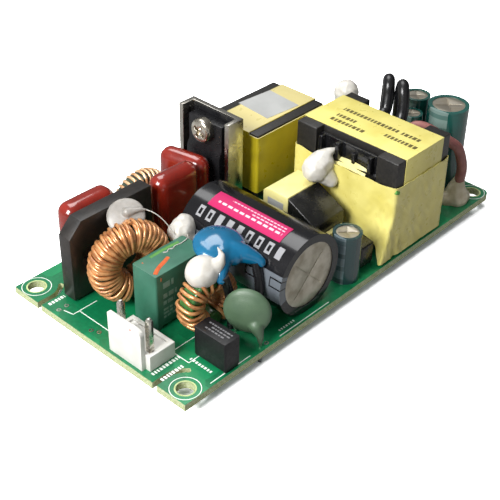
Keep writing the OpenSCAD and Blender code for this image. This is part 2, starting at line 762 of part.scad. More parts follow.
// The bobbin: tube round the post, two flanges, notched walls at its sides and a pin base
module transformer_bobbin() {
    tube_t = 0.9;
    flange_t = 1;
    wall_x = plate_w / 2 + tape_t + 0.3;
    wall_t = bobbin_x - wall_x;
    color("#17171a") on_board(core_at) difference() {
        union() {
            translate([0, 0, window_low + seat]) cylinder(d = post_d + 2 * tube_t,
                h = window_top - window_low - 2 * seat, $fn = fine);
            for (z = [window_low + seat, window_top - flange_t - seat])
                translate([-bobbin_x, -flange_y, z]) cube([2 * bobbin_x, 2 * flange_y, flange_t]);
            for (s = [-1, 1]) translate([s * (wall_x + wall_t / 2) - wall_t / 2, -flange_y, 0.8])
                cube([wall_t, 2 * flange_y, window_low + flange_t - 0.8]);
            translate([-bobbin_x, -core_l / 2 + 0.6, 0.8])
                cube([2 * bobbin_x, core_l - 1.2, core_foot - tape_t - 0.8 - seat]);
            for (s = [-1, 1]) translate([s * (wall_x + wall_t / 2) - wall_t / 2, -flange_y, window_top - flange_t])
                cube([wall_t, 2 * flange_y, core_top - 1.4 - window_top + flange_t]);
            for (x = [-1, 1], y = [-1, 1]) translate([x * (core_w / 2 - 2), y * (core_l / 2 - 2.6), 0])
                cylinder(d = 2, h = 1, $fn = fine);
        }
        translate([0, 0, window_low - 1]) cylinder(d = post_d + 2 * gap, h = window_top - window_low + 2, $fn = fine);
        for (s = [-1, 1], y = bobbin_notches)
            translate([s * bobbin_x, y[0], core_top - 1.4 - y[1] / 2 + 0.1])
                cube([2 * wall_t + 1.2, y[2], y[1] + 0.2], center = true);
    }
}

// Notches for the wires: place along the wall, depth and width
bobbin_notches = [[-5.6, 3.4, 2.6], [-1.2, 2.6, 2.2], [3, 3.4, 2.6], [6.4, 1.6, 1.2]];

module transformer_winding() {
    color("#b9762f") on_board(core_at, window_low + 1 + 2 * seat) difference() {
        cylinder(r = flange_y - 0.3, h = window_top - window_low - 2 - 4 * seat, $fn = fine);
        translate([0, 0, -1]) cylinder(d = post_d + 2 * 0.9 + 2 * gap, h = window_top, $fn = fine);
    }
}

// The wrap's outline at a share t of its height: a bulged rectangle that flares at its foot
wrap_x = core_w / 2 + wrap_t + gap;
wrap_y = core_l / 2 + tape_t + wrap_t + 2 * seat;
wrap_bulge = 0.9;
wrap_flare = 1.5;

function wrap_side(u) = 1 - pow(abs(u), 3);

function wrap_point(i, n, t, inset) =
    let (q = floor(4 * i / n), u = 2 * (4 * i / n - q) - 1,
         low = pow(1 - t, 3), west = wrap_x + wrap_flare * low * (u > 0 ? 1 : 0.2) + wrap_bulge * wrap_side(u) * t,
         hy = wrap_y - inset, hx = wrap_x - inset)
    q == 0 ? [hx + 0.35 * wrap_side(u), hy * u]
    : q == 1 ? [-hx * u, hy]
    : q == 2 ? [-(west - inset), -hy * u]
    : [-(west - inset) + (hx + west - inset) * (u + 1) / 2, -hy];

module transformer_wrap() {
    n = 48;
    levels = 6;
    low = 0.5;
    rows = [for (l = [0 : levels]) l / levels];
    outer = [for (t = rows, i = [0 : n - 1]) let (p = wrap_point(i, n, t, 0))
        [p[0], p[1], low + (wrap_h - low) * t]];
    inner = [for (t = rows, i = [0 : n - 1]) let (p = wrap_point(i, n, t, wrap_t))
        [p[0], p[1], low + (wrap_h - low) * t]];
    m = n * (levels + 1);
    faces = concat(
        [for (l = [0 : levels - 1], i = [0 : n - 1]) let (a = l * n + i, b = l * n + (i + 1) % n)
            each [[a, a + n, b + n], [a, b + n, b]]],
        [for (l = [0 : levels - 1], i = [0 : n - 1]) let (a = m + l * n + i, b = m + l * n + (i + 1) % n)
            each [[a, b + n, a + n], [a, b, b + n]]],
        [for (i = [0 : n - 1]) let (a = i, b = (i + 1) % n) each [[a, b, b + m], [a, b + m, a + m]]],
        [for (i = [0 : n - 1]) let (a = levels * n + i, b = levels * n + (i + 1) % n)
            each [[a, b + m, b], [a, a + m, b + m]]]);
    color("#e6dc7a") on_board(core_at) polyhedron(concat(outer, inner), faces, convexity = 8);
}

// ---- Auxiliary transformer ----

// Its core, taped over in black, with a top that falls towards the front
module aux_transformer_core() {
    fall = 4;
    color("#222322") on_board([aux_at[0] - aux_l / 2, aux_at[1] - seat]) rotate([90, 0, 90])
        linear_extrude(height = aux_l - 0.4)
            polygon([[0, 0.8], [0, aux_h - 0.2], [-aux_core, aux_h - fall], [-aux_core, 0.8]]);
}

module aux_transformer_tape() {
    front = 1;
    color("#efe79a") on_board(aux_at) {
        translate([-aux_l / 2, 0, 0]) rotate([90, 0, 90]) linear_extrude(height = aux_l)
            polygon([[0, 0], [aux_wound, 0], [aux_wound, aux_h - 0.9], [aux_wound - 0.9, aux_h], [0, aux_h]]);
        translate([-aux_l / 2 + 1.4, -aux_core - 2 * seat - front, 0.01]) cube([aux_l - 2.6, front, 7]);
        translate([-aux_l / 2 + 1.4, -aux_core - 2 * seat - front, 0]) cube([aux_l - 2.6, aux_core + front + 2 * seat, 0.7]);
    }
}

module aux_transformer_label() {
    color("#f4f4f2") on_board([aux_at[0] - aux_l / 2 - label_t, aux_at[1] + 1.2], 5.5)
        cube([label_t, 4.4, 6.5]);
}

// ---- Electrolytic capacitors ----

module lay_bulk() {
    on_board([bulk_at[0], bulk_at[1] + bulk_l], bulk_z) rotate([90, 0, 0]) children();
}

module bulk_capacitor_can() {
    lead_r = 3.75;
    color("#b3ab9b") lay_bulk() can(bulk_d, bulk_l - sleeve_t);
    color("#c9c6bd") for (s = [-1, 1]) on_board([bulk_at[0] + s * lead_r, bulk_at[1] + bulk_l + 1.5]) {
        cylinder(d = 0.8, h = bulk_z, $fn = fine);
        translate([0, 0, bulk_z]) sphere(d = 0.8, $fn = fine);
        translate([0, 0, bulk_z]) rotate([90, 0, 0]) cylinder(d = 0.8, h = 2, $fn = fine);
    }
}

module bulk_capacitor_sleeve() {
    color("#232327") lay_bulk() sleeve(bulk_d, bulk_l - sleeve_t, sleeve_t);
}

module bulk_capacitor_label() {
    r = bulk_d / 2 + sleeve_t + 2 * seat;
    arc = 27;
    length = 19.8;
    color("#d4006a") translate([bulk_at[0], bulk_at[1] + 4.4 + length, top + bulk_z]) rotate([90, 0, 0])
        rotate([0, 0, 92]) rotate_extrude(angle = arc, $fn = 96) translate([r, 0]) square([label_t, length]);
}

module small_electrolytic_can() {
    color("#c8c4b8") on_board(elco_at) can(elco_d - 2 * sleeve_t - 2 * seat, elco_h - sleeve_t);
}

module small_electrolytic_sleeve() {
    color("#22504a") on_board(elco_at) sleeve(elco_d - 2 * sleeve_t - 2 * seat, elco_h - sleeve_t, sleeve_t);
}

module output_capacitor_cans() {
    color("#c8c4b8") for (i = [0 : 2])
        on_board(out_at[i]) can(out_d[i] - 2 * sleeve_t - 2 * seat, out_h[i] - sleeve_t);
}

module output_capacitor_sleeves() {
    color("#0d5a50") for (i = [0 : 2])
        on_board(out_at[i]) sleeve(out_d[i] - 2 * sleeve_t - 2 * seat, out_h[i] - sleeve_t, sleeve_t);
}

// ---- Small parts ----

// A choke wound on a drum, in a shrunk tube that leaves its ends open
module drum_choke() {
    color("#1d1d20") on_board(drum_at, 0.6) rotate_extrude($fn = fine) {
        square([drum_d / 2 - 0.3, drum_h]);
        translate([0, 0.5]) square([drum_d / 2, drum_h - 1]);
    }
    color("#c9c6bd") for (s = [-1, 1]) on_board([drum_at[0], drum_at[1] + s * 1.2])
        cylinder(d = 0.6, h = 0.7, $fn = fine);
}

// The blue disc, leaning back nearly flat, with two coated legs at its front
module blue_capacitor() {
    color("#1b8fd0") {
        on_board(disc_at, disc_z) rotate([disc_tilt, 0, 0]) coated_disc(disc_d, disc_t);
        for (leg = disc_legs) hull() {
            translate([leg[0], leg[1], top + leg[2]]) sphere(d = disc_sleeve_d, $fn = coarse);
            translate([disc_at[0] + (leg[0] - disc_at[0]) * 0.55, disc_at[1] + (leg[1] - disc_at[1]) * 0.55,
                top + disc_z - 0.6]) sphere(d = disc_t * 0.7, $fn = coarse);
        }
    }
}

module blue_capacitor_sleeves() {
    color("#202124") difference() {
        for (p = sleeve_paths) lead(p, disc_sleeve_d, 3, [1, 0, 0.01]);
        for (leg = disc_legs) translate([leg[0], leg[1], top + leg[2]])
            sphere(d = disc_sleeve_d + 8 * seat, $fn = coarse);
    }
}

module output_disc_capacitor() {
    on_board(output_disc_at) {
        color("#2f7fb5") translate([0, 0, output_disc_z]) rotate([90, 0, 0])
            coated_disc(output_disc_d, output_disc_t);
        color("#c9c6bd") for (s = [-1, 1]) translate([s * 2.5, 0, 0])
            cylinder(d = 0.7, h = output_disc_z - 2.4, $fn = fine);
    }
}

// ---- Sleeved leads ----

module black_lead_a() {
    color("#1b1b1e") lead(black_a_path, black_d, 2);
}

module black_lead_b() {
    color("#1b1b1e") lead(black_b_path, black_d, 2);
}

module pink_lead() {
    color("#8f5a55") lead(pink_path, pink_d, 2, [-0.5, -0.8, 0.01]);
}

// ---- Glue beads, each shaped by what it sits against ----

// A round bead, at a place from the board's centre and upper face
module bead(at, r) {
    translate([at[0], at[1], top + at[2]]) sphere(r, $fn = fine);
}

module main_choke_clear() {
    on_board(main_at, main_z) stand_ring(main_turn) rotate_extrude($fn = fine)
        translate([main_r, 0]) circle(main_section + ridge + seat, $fn = fine);
}

module small_choke_clear() {
    out = 2 * (gap + wire_d + seat);
    on_board(small_at, small_z) stand_ring(small_turn) rotate_extrude($fn = fine)
        translate([small_r, 0]) round_rect(2 * small_core + out, small_h + out, 1.2);
}

module blue_clear() {
    on_board(disc_at, disc_z) rotate([disc_tilt, 0, 0]) coated_disc(disc_d + 2 * seat, disc_t + 2 * seat);
}

module bulk_clear() {
    lay_bulk() translate([0, 0, -1]) cylinder(r = bulk_d / 2 + sleeve_t + label_t + 2 * seat, h = bulk_l + 1, $fn = fine);
}

module xcap_clear() {
    on_board(xcap_at) translate([-xcap_l / 2 - seat, -xcap_w / 2 - seat, 0])
        cube([xcap_l + 2 * seat, xcap_w + 2 * seat, xcap_h + seat]);
}

// A dab pressed flat against the rectifier, its pulled tail lying over the main choke
module bridge_glue() {
    size = [7.8, 1.9];
    tail = [1.3, 0.35, 2.6];
    face = bridge_at[1] - bridge_t / 2 - 2 * seat;
    color("#e9e5da") on_board([-30.6, face - size[1] / 2], 15.6) rotate([90, 0, 0]) {
        coated_disc(size[0], size[1]);
        translate([0.6, 0.9, 0]) cylinder(r1 = tail[0], r2 = tail[1], h = size[1] / 2 + tail[2], $fn = fine);
    }
}

module small_choke_glue() {
    color("#f2f0ea") difference() {
        bead([-31.6, -12.2, 13.4], 3);
        small_choke_clear();
        blue_clear();
        blue_leg_clear();
    }
}

module blue_leg_clear() {
    leg = disc_legs[0];
    hull() {
        translate([leg[0], leg[1], top + leg[2]]) sphere(d = disc_sleeve_d + 0.2, $fn = coarse);
        translate([disc_at[0] + (leg[0] - disc_at[0]) * 0.55, disc_at[1] + (leg[1] - disc_at[1]) * 0.55,
            top + disc_z - 0.6]) sphere(d = disc_t * 0.7 + 0.2, $fn = coarse);
    }
}

module x_capacitor_glue() {
    color("#e0dccf") difference() {
        bead([-24.8, 2.4, 11.6], 3.3);
        bulk_clear();
        xcap_clear();
        main_choke_clear();
    }
}

module transformer_glue() {
    color("#f2f0ea") difference() {
        bead([7, -4.6, 16.2], 3.2);
        on_board([core_at[0] - wrap_x - wrap_bulge - seat, core_at[1] - wrap_y]) cube([20, 2 * wrap_y, 30]);
        on_board([aux_at[0] - aux_l / 2, aux_at[1] - aux_core]) cube([aux_l, aux_core + aux_wound, aux_h + seat]);
    }
}

module pink_lead_glue() {
    foot = pink_path[len(pink_path) - 1];
    r = 2.9;
    h = 5.2;
    color("#d8cfb8") difference() {
        on_board(foot) cylinder(r1 = r, r2 = pink_d / 2 + 0.5, h = h, $fn = fine);
        pink_bore();
    }
}

module pink_bore() {
    lead(pink_path, pink_d + 4 * seat, 2, [-0.5, -0.8, 0.01]);
}

module output_glue() {
    color("#f2f0ea") difference() {
        bead([output_disc_at[0], output_disc_at[1], output_disc_z + output_disc_d / 2 - 1.2], 2.9);
        on_board(output_disc_at, output_disc_z) rotate([90, 0, 0])
            coated_disc(output_disc_d + 2 * seat, output_disc_t + 2 * seat);
    }
}

// ---- Under the board ----

chip_h = 1.5;
chips = [[-6, -6, 9, 3.9], [-3, 9, 4.9, 3.9], [33, 8, 4.9, 3.9], [34, 17, 6.4, 5.2], [20.7, 6, 6.4, 3.9]];
parts = [[-14, -2], [-14, 2], [-8, 12.2], [4, -3], [9, -6], [9, -3], [0, 15], [14, 14], [18, 14], [33, -14],
    [33, -11], [-22, -8], [-22, -4], [-44, 4]];

module underside_chips() {
    leads = 4;
    color("#222226") translate([0, 0, lead_drop]) for (c = chips) translate([c[0], c[1], -chip_h]) {
        translate([-c[2] / 2, -c[3] / 2, 0]) cube([c[2], c[3], chip_h - 0.15]);
        for (s = [-1, 1], i = [0 : leads - 1])
            translate([(i - (leads - 1) / 2) * c[2] / leads - 0.2, s * (c[3] / 2 + 0.4) - 0.5, chip_h - 0.35])
                cube([0.4, 1, 0.35]);
    }
}

module underside_parts() {
    color("#8d7a5a") translate([0, 0, lead_drop]) for (p = parts)
        translate([p[0] - 1, p[1] - 0.6, -0.7]) cube([2, 1.2, 0.7]);
}

// Where every lead comes through the board, from the board's centre
joint_places = concat(
    [for (i = inlet_pin_places) [inlet_x + header_pin_x, inlet_y + i * pin_pitch]],
    [for (i = outlet_pin_places) [outlet_x - header_pin_x, outlet_y + i * pin_pitch]],
    [for (s = [-1, 1]) [fuse_at[0], fuse_at[1] + s * 2.54]],
    [for (s = [-1, 1]) [ntc_at[0], ntc_at[1] + s * ntc_lead_gap / 2]],
    [for (s = [-1, 1]) [xcap_at[0] + s * 5, xcap_at[1]]],
    [for (x = bridge_lead_x) [bridge_at[0] + x, bridge_at[1]]],
    [for (s = [-1, 1], t = [-1, 1]) [main_at[0] + s * 3.5, main_at[1] + t * 1.5]],
    [for (s = [-1, 1], t = [-1, 1]) [small_at[0] + s * small_lead_x, small_at[1] + t * 1.5]],
    [for (s = [-1, 1]) [rear_at[0] + s * 3, rear_at[1]]],
    [for (c = film_caps, s = [-1, 1])
        [c[0][0] + s * (c[1][0] > c[1][1] ? c[1][0] / 2 - film_r : 0),
         c[0][1] + s * (c[1][0] > c[1][1] ? 0 : c[1][1] / 2 - film_r)]],
    [for (s = [-1, 0, 1]) [device_back - device_t + 2, sink_at[1] + s * 2.54]],
    [for (s = [-1, 1]) [bulk_at[0] + s * 3.75, bulk_at[1] + bulk_l + 1.5]],
    [for (s = [-1, 1]) [elco_at[0] + s * 1.25, elco_at[1]]],
    [for (s = [-1, 1]) [drum_at[0], drum_at[1] + s * 1.2]],
    [for (p = sleeve_paths) let (e = p[len(p) - 1]) [e[0], e[1]]],
    [for (i = [0 : 2], s = [-1, 1]) [out_at[i][0], out_at[i][1] + s * out_d[i] / 4]],
    [for (s = [-1, 1]) [output_disc_at[0] + s * 2.5, output_disc_at[1]]],
    [for (x = [-1, 1], y = [-1, 0, 1]) [boost_at[0] + x * 9, boost_at[1] + y * 5]],
    [for (x = [-1, 1], y = [-2 : 2]) [core_at[0] + x * 7.5, core_at[1] + y * 5]],
    [for (x = [-1, 1], y = [-1, 1]) [aux_at[0] + x * 3.8, aux_at[1] + y * 5]],
    [for (p = [black_a_path, black_b_path, pink_path]) let (e = p[len(p) - 1]) [e[0], e[1]]]);

module solder_joints() {
    fillet = 1.1;
    color("#c4c6c8") for (p = joint_places) translate([p[0], p[1], 0]) {
        cylinder(d = 0.8, h = lead_drop, $fn = 16);
        translate([0, 0, lead_drop - fillet]) cylinder(d1 = 1, d2 = joint_d, h = fillet, $fn = 16);
    }
}

circuit_board();
inlet_housing();
inlet_pins();
outlet_housing();
outlet_pins();
fuse();
inrush_thermistor();
x_capacitor();
small_choke_core();
small_choke_winding(1);  // small_choke_winding_a
small_choke_winding(-1);  // small_choke_winding_b
main_choke_core();
main_choke_winding_a();
main_choke_winding_b();
bridge_rectifier();
bridge_leads();
film_capacitor(film_caps[0]);  // film_capacitor_a
film_capacitor(film_caps[1]);  // film_capacitor_b
film_capacitor(film_caps[2]);  // film_capacitor_c
rear_choke_core();
rear_choke_winding();
heat_sink();
power_transistor();
transistor_leads();
heat_sink_screw();
boost_choke_core();
boost_choke_bobbin();
boost_choke_wrap();
boost_choke_label();
transformer_core();
transformer_core_tape();
transformer_bobbin();
transformer_winding();
transformer_wrap();
aux_transformer_core();
aux_transformer_tape();
aux_transformer_label();
bulk_capacitor_can();
bulk_capacitor_sleeve();
bulk_capacitor_label();
small_electrolytic_can();
small_electrolytic_sleeve();
drum_choke();
blue_capacitor();
blue_capacitor_sleeves();
output_capacitor_cans();
output_capacitor_sleeves();
output_disc_capacitor();
black_lead_a();
black_lead_b();
pink_lead();
bridge_glue();
small_choke_glue();
x_capacitor_glue();
transformer_glue();
pink_lead_glue();
output_glue();
underside_chips();
underside_parts();
solder_joints();
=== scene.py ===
"""Looks of an open frame power supply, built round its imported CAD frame."""
import json
import math

import bmesh
import bpy
import numpy as np
from mathutils import Matrix, Vector, noise


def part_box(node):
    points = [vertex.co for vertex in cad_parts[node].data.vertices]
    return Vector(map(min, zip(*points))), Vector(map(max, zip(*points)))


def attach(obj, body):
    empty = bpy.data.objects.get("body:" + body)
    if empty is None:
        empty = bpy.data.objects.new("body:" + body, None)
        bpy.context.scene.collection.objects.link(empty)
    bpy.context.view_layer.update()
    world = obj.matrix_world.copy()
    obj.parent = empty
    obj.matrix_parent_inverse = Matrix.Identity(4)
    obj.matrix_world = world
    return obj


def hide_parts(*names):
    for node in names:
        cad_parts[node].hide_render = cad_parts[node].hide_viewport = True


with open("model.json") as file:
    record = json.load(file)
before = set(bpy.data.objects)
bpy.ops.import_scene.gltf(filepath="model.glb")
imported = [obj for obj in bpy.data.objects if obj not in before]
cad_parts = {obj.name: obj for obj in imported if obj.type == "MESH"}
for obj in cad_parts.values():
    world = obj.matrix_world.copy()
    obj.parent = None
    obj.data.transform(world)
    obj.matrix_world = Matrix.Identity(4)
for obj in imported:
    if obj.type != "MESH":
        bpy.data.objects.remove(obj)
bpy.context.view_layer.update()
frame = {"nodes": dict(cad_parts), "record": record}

MM = 0.001
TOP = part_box("circuit_board")[1].z / MM  # the board's upper face, from which heights are given


# ---- Helpers ----

def hex_colour(code, alpha=1.0):
    """sRGB hex to linear RGBA."""
    parts = [int(code[i:i + 2], 16) / 255 for i in (1, 3, 5)]
    return (*[c / 12.92 if c <= 0.04045 else ((c + 0.055) / 1.055) ** 2.4 for c in parts], alpha)


def add(tree, kind, *values, out=0, named=None, **settings):
    """Adds a node with its settings and links, and returns the socket that it gives."""
    node = tree.nodes.new(kind)
    for key, value in settings.items():
        setattr(node, key, value)
    for key, value in [*enumerate(values), *(named or {}).items()]:
        if isinstance(value, bpy.types.NodeSocket):
            tree.links.new(value, node.inputs[key])
        elif value is not None:
            node.inputs[key].default_value = value
    return node.outputs[out] if len(node.outputs) else node


MATH, MIX, NOISE, RANGE = "ShaderNodeMath", "ShaderNodeMix", "ShaderNodeTexNoise", "ShaderNodeMapRange"


def per_mm(size):
    """The texture scale whose features are that many millimetres wide."""
    return 1 / (size * MM)


def blend(tree, share, low, high):
    """Mixes two colours, given as hex or sockets."""
    low, high = [hex_colour(c) if isinstance(c, str) else c for c in (low, high)]
    return add(tree, MIX, share, named={6: low, 7: high}, out=2, data_type="RGBA")


def finish(name, colour, roughness, metallic=0.0, **sockets):
    """A material with its constants on the shader's own sockets."""
    made = bpy.data.materials.new(name)
    made.use_nodes = True
    tree = made.node_tree
    shader = tree.nodes["Principled BSDF"]
    shader.inputs["Base Color"].default_value = hex_colour(colour)
    shader.inputs["Roughness"].default_value = roughness
    shader.inputs["Metallic"].default_value = metallic
    for key, value in sockets.items():
        shader.inputs[key.replace("_", " ")].default_value = value
    place = add(tree, "ShaderNodeTexCoord", out="Object")
    return made, tree, shader, place


def vary(tree, shader, place, low, high, size, detail=3.0, lo=0.35, hi=0.65):
    """Colour that drifts between two tones over patches of a size in millimetres."""
    share = add(tree, NOISE, place, None, per_mm(size), detail)
    share = add(tree, RANGE, share, lo, hi)
    colour = blend(tree, share, low, high)
    tree.links.new(colour, shader.inputs["Base Color"])
    return share, colour


def roughen(tree, shader, place, low, high, size):
    """Roughness that drifts between two values over patches of a size in millimetres."""
    share = add(tree, NOISE, place, None, per_mm(size), 2.0)
    tree.links.new(add(tree, RANGE, share, 0.3, 0.7, low, high), shader.inputs["Roughness"])


def relief(tree, shader, height, depth, strength=1.0):
    """Bump of a depth in millimetres from a height between 0 and 1."""
    bump = add(tree, "ShaderNodeBump", named={"Strength": strength, "Distance": depth * MM, "Height": height})
    tree.links.new(bump, shader.inputs["Normal"])


def grain(tree, shader, place, size, depth):
    """Even fine bump, as of a spark-eroded mould."""
    relief(tree, shader, add(tree, NOISE, place, None, per_mm(size), 2.0), depth)


# ---- Materials ----

def moulded(name, low, high, roughness, size=2.5, depth=0.02, coat=0.0, spread=0.08, shine=0.5):
    """Moulded plastic: two close tones, a fine mould grain and slightly uneven gloss."""
    made, tree, shader, place = finish(name, low, roughness, Coat_Weight=coat, Coat_Roughness=0.12,
                                       Specular_IOR_Level=shine)
    vary(tree, shader, place, low, high, size)
    roughen(tree, shader, place, roughness - spread, roughness + spread, size * 0.6)
    grain(tree, shader, place, 0.25, depth)
    return made


def metal(name, low, high, roughness, size=1.5, depth=0.01):
    """Plain plated metal, a little uneven in tone and gloss."""
    made, tree, shader, place = finish(name, low, roughness, 1.0)
    vary(tree, shader, place, low, high, size)
    roughen(tree, shader, place, roughness - 0.08, roughness + 0.12, size)
    grain(tree, shader, place, 0.4, depth)
    return made


def board_finish():
    """FR4 glass laminate under green solder mask: glossy, copper areas show paler through the mask,
    sawn edges show the straw-coloured resin."""
    made, tree, shader, place = finish("fr4_solder_mask", "#0c6a42", 0.32, Coat_Weight=0.25, Coat_Roughness=0.2)
    pour = add(tree, "ShaderNodeTexVoronoi", place, None, per_mm(7.5), out="Color", distance="CHEBYCHEV")
    pour = add(tree, RANGE, pour, 0.45, 0.5)
    mask = blend(tree, pour, "#0a623c", "#12804f")
    mottle = add(tree, NOISE, place, None, per_mm(0.9), 4.0)
    mask = blend(tree, add(tree, RANGE, mottle, 0.3, 0.75), mask, "#0f7448")
    weave = add(tree, NOISE, place, None, per_mm(0.35), 2.0)
    edge = blend(tree, add(tree, RANGE, weave, 0.35, 0.7), "#96a06e", "#c3c8a2")
    facing = add(tree, "ShaderNodeSeparateXYZ", add(tree, "ShaderNodeNewGeometry", out="Normal"), out=2)
    flat = add(tree, MATH, add(tree, MATH, facing, operation="ABSOLUTE"), 0.5, operation="GREATER_THAN")
    tree.links.new(blend(tree, flat, edge, mask), shader.inputs["Base Color"])
    tree.links.new(add(tree, RANGE, flat, 0, 1, 0.75, 0.3), shader.inputs["Roughness"])
    relief(tree, shader, pour, 0.03)
    return made


def wire_finish(name, lit, dark):
    """Copper wire in clear polyester-imide enamel: metal under a hard gloss coat, darker where it tans."""
    made, tree, shader, place = finish(name, lit, 0.3, 0.4, Coat_Weight=0.6, Coat_Roughness=0.12)
    vary(tree, shader, place, lit, dark, 1.8, 3.0, 0.4, 0.75)
    return made


def dipped_finish(name, low, high, **sockets):
    """Epoxy dip coat, cured to a deep gloss with a faint orange peel."""
    made, tree, shader, place = finish(name, low, 0.2, Coat_Weight=0.7, Coat_Roughness=0.05, **sockets)
    vary(tree, shader, place, low, high, 4.0)
    grain(tree, shader, place, 1.3, 0.03)
    return made


def tape_finish(name, lit, dark, roughness=0.35, top=None):
    """Polyester film tape: thin glossy layers whose edges show as fine lines, with wrinkles and trapped air."""
    made, tree, shader, place = finish(name, lit, roughness, Coat_Weight=0.3, Coat_Roughness=0.15)
    colour = vary(tree, shader, place, lit, dark, 5.0, 2.0, 0.4, 0.8)[1]
    if top:  # stretched flat over the upper face, where the room's light pales it
        rise = add(tree, "ShaderNodeSeparateXYZ", add(tree, "ShaderNodeNewGeometry", out="Normal"), out=2)
        tree.links.new(blend(tree, add(tree, RANGE, rise, 0.6, 0.95), colour, top), shader.inputs["Base Color"])
    creases = add(tree, NOISE, place, None, per_mm(5.0), 1.0, 0.5)
    relief(tree, shader, creases, 0.3, 0.25)
    roughen(tree, shader, place, roughness - 0.1, roughness + 0.12, 2.0)
    return made


def glue_finish(name, low, high):
    """Silicone sealant, squeezed out and skinned over: milky, soft gloss, with light entering it."""
    made, tree, shader, place = finish(name, low, 0.38, Subsurface_Weight=0.25, Subsurface_Scale=0.001,
                                       Subsurface_Radius=(1.0, 0.9, 0.75))
    vary(tree, shader, place, low, high, 1.6)
    relief(tree, shader, add(tree, NOISE, place, None, per_mm(0.9), 3.0), 0.06)
    return made


def around(tree, place, node):
    """The angle in degrees round a lying capacitor's axis (0 at +X, 90 at +Z), and its Y in millimetres."""
    low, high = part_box(node)
    parts = add(tree, "ShaderNodeSeparateXYZ", place).node
    x = add(tree, MATH, parts.outputs[0], (low.x + high.x) / 2, operation="SUBTRACT")
    z = add(tree, MATH, parts.outputs[2], (low.z + high.z) / 2, operation="SUBTRACT")
    angle = add(tree, MATH, add(tree, MATH, z, x, operation="ARCTAN2"), 180 / math.pi, operation="MULTIPLY")
    return angle, add(tree, MATH, parts.outputs[1], 1 / MM, operation="MULTIPLY")


def inside(tree, value, low, high):
    """1 where a value lies between two limits."""
    above = add(tree, MATH, value, low, operation="GREATER_THAN")
    return add(tree, MATH, above, add(tree, MATH, value, high, operation="LESS_THAN"), operation="MULTIPLY")


def bulk_sleeve_finish():
    """Printed PVC shrink sleeve: glossy black, a silver-grey polarity stripe low on one side with outlined
    dashes, and a row of plain pale bars where such a sleeve is printed."""
    made, tree, shader, place = finish("pvc_sleeve_black", "#0d0d10", 0.2, Coat_Weight=0.25, Coat_Roughness=0.05,
                                       Specular_IOR_Level=0.35)
    angle, along = around(tree, place, "bulk_capacitor_sleeve")
    stripe = add(tree, MATH, inside(tree, angle, 156, 181), inside(tree, angle, -181, -160), operation="MAXIMUM")
    beat = add(tree, MATH, add(tree, MATH, along, 6.4, operation="DIVIDE"), operation="FRACT")
    dash = add(tree, MATH, inside(tree, beat, 0.2, 0.8), inside(tree, angle, 162, 176), operation="MULTIPLY")
    core = add(tree, MATH, inside(tree, beat, 0.24, 0.76), inside(tree, angle, 164, 174), operation="MULTIPLY")
    dash = add(tree, MATH, dash, core, operation="SUBTRACT")
    printed = add(tree, MATH, stripe, dash, operation="SUBTRACT", use_clamp=True)
    step = add(tree, MATH, add(tree, MATH, along, 2.7, operation="DIVIDE"), operation="FRACT")
    letters = add(tree, MATH, inside(tree, step, 0.18, 0.72), inside(tree, angle, 123, 139), operation="MULTIPLY")
    number = add(tree, MATH, add(tree, MATH, along, 2.7, operation="DIVIDE"), operation="FLOOR")
    odd = add(tree, MATH, add(tree, MATH, number, 3.0, operation="PINGPONG"), 1.5, operation="LESS_THAN")
    hollow = add(tree, MATH, inside(tree, step, 0.32, 0.58), inside(tree, angle, 127, 135.5), operation="MULTIPLY")
    letters = add(tree, MATH, letters, add(tree, MATH, hollow, odd, operation="MULTIPLY"), operation="SUBTRACT",
                  use_clamp=True)
    letters = add(tree, MATH, letters, inside(tree, along, -21.5, 3.0), operation="MULTIPLY")
    colour = blend(tree, printed, "#0d0d10", "#60666c")
    tree.links.new(blend(tree, letters, colour, "#8e8e91"), shader.inputs["Base Color"])
    relief(tree, shader, add(tree, NOISE, place, None, per_mm(2.5), 1.0), 0.03)
    return made


def label_finish():
    """A magenta field printed on the sleeve, with three lines of plain white bars."""
    made, tree, shader, place = finish("printed_field_magenta", "#ab0a52", 0.45, Specular_IOR_Level=0.25)
    angle, along = around(tree, place, "bulk_capacitor_sleeve")
    total = 0.0
    for low, high, beat, share, start, end in ((96.5, 98.3, 0.9, 0.7, -18.2, -3.5), (101.5, 103.3, 1.15, 0.75, -18.2, -9.5),
                                               (106.5, 109.8, 1.6, 0.7, -18.2, -1.0)):
        step = add(tree, MATH, add(tree, MATH, along, beat, operation="DIVIDE"), operation="FRACT")
        bar = add(tree, MATH, inside(tree, step, 0.0, share), inside(tree, angle, low, high), operation="MULTIPLY")
        bar = add(tree, MATH, bar, inside(tree, along, start, end), operation="MULTIPLY")
        total = add(tree, MATH, total, bar, operation="MAXIMUM")
    tree.links.new(blend(tree, total, "#ab0a52", "#d9b9c6"), shader.inputs["Base Color"])
    return made


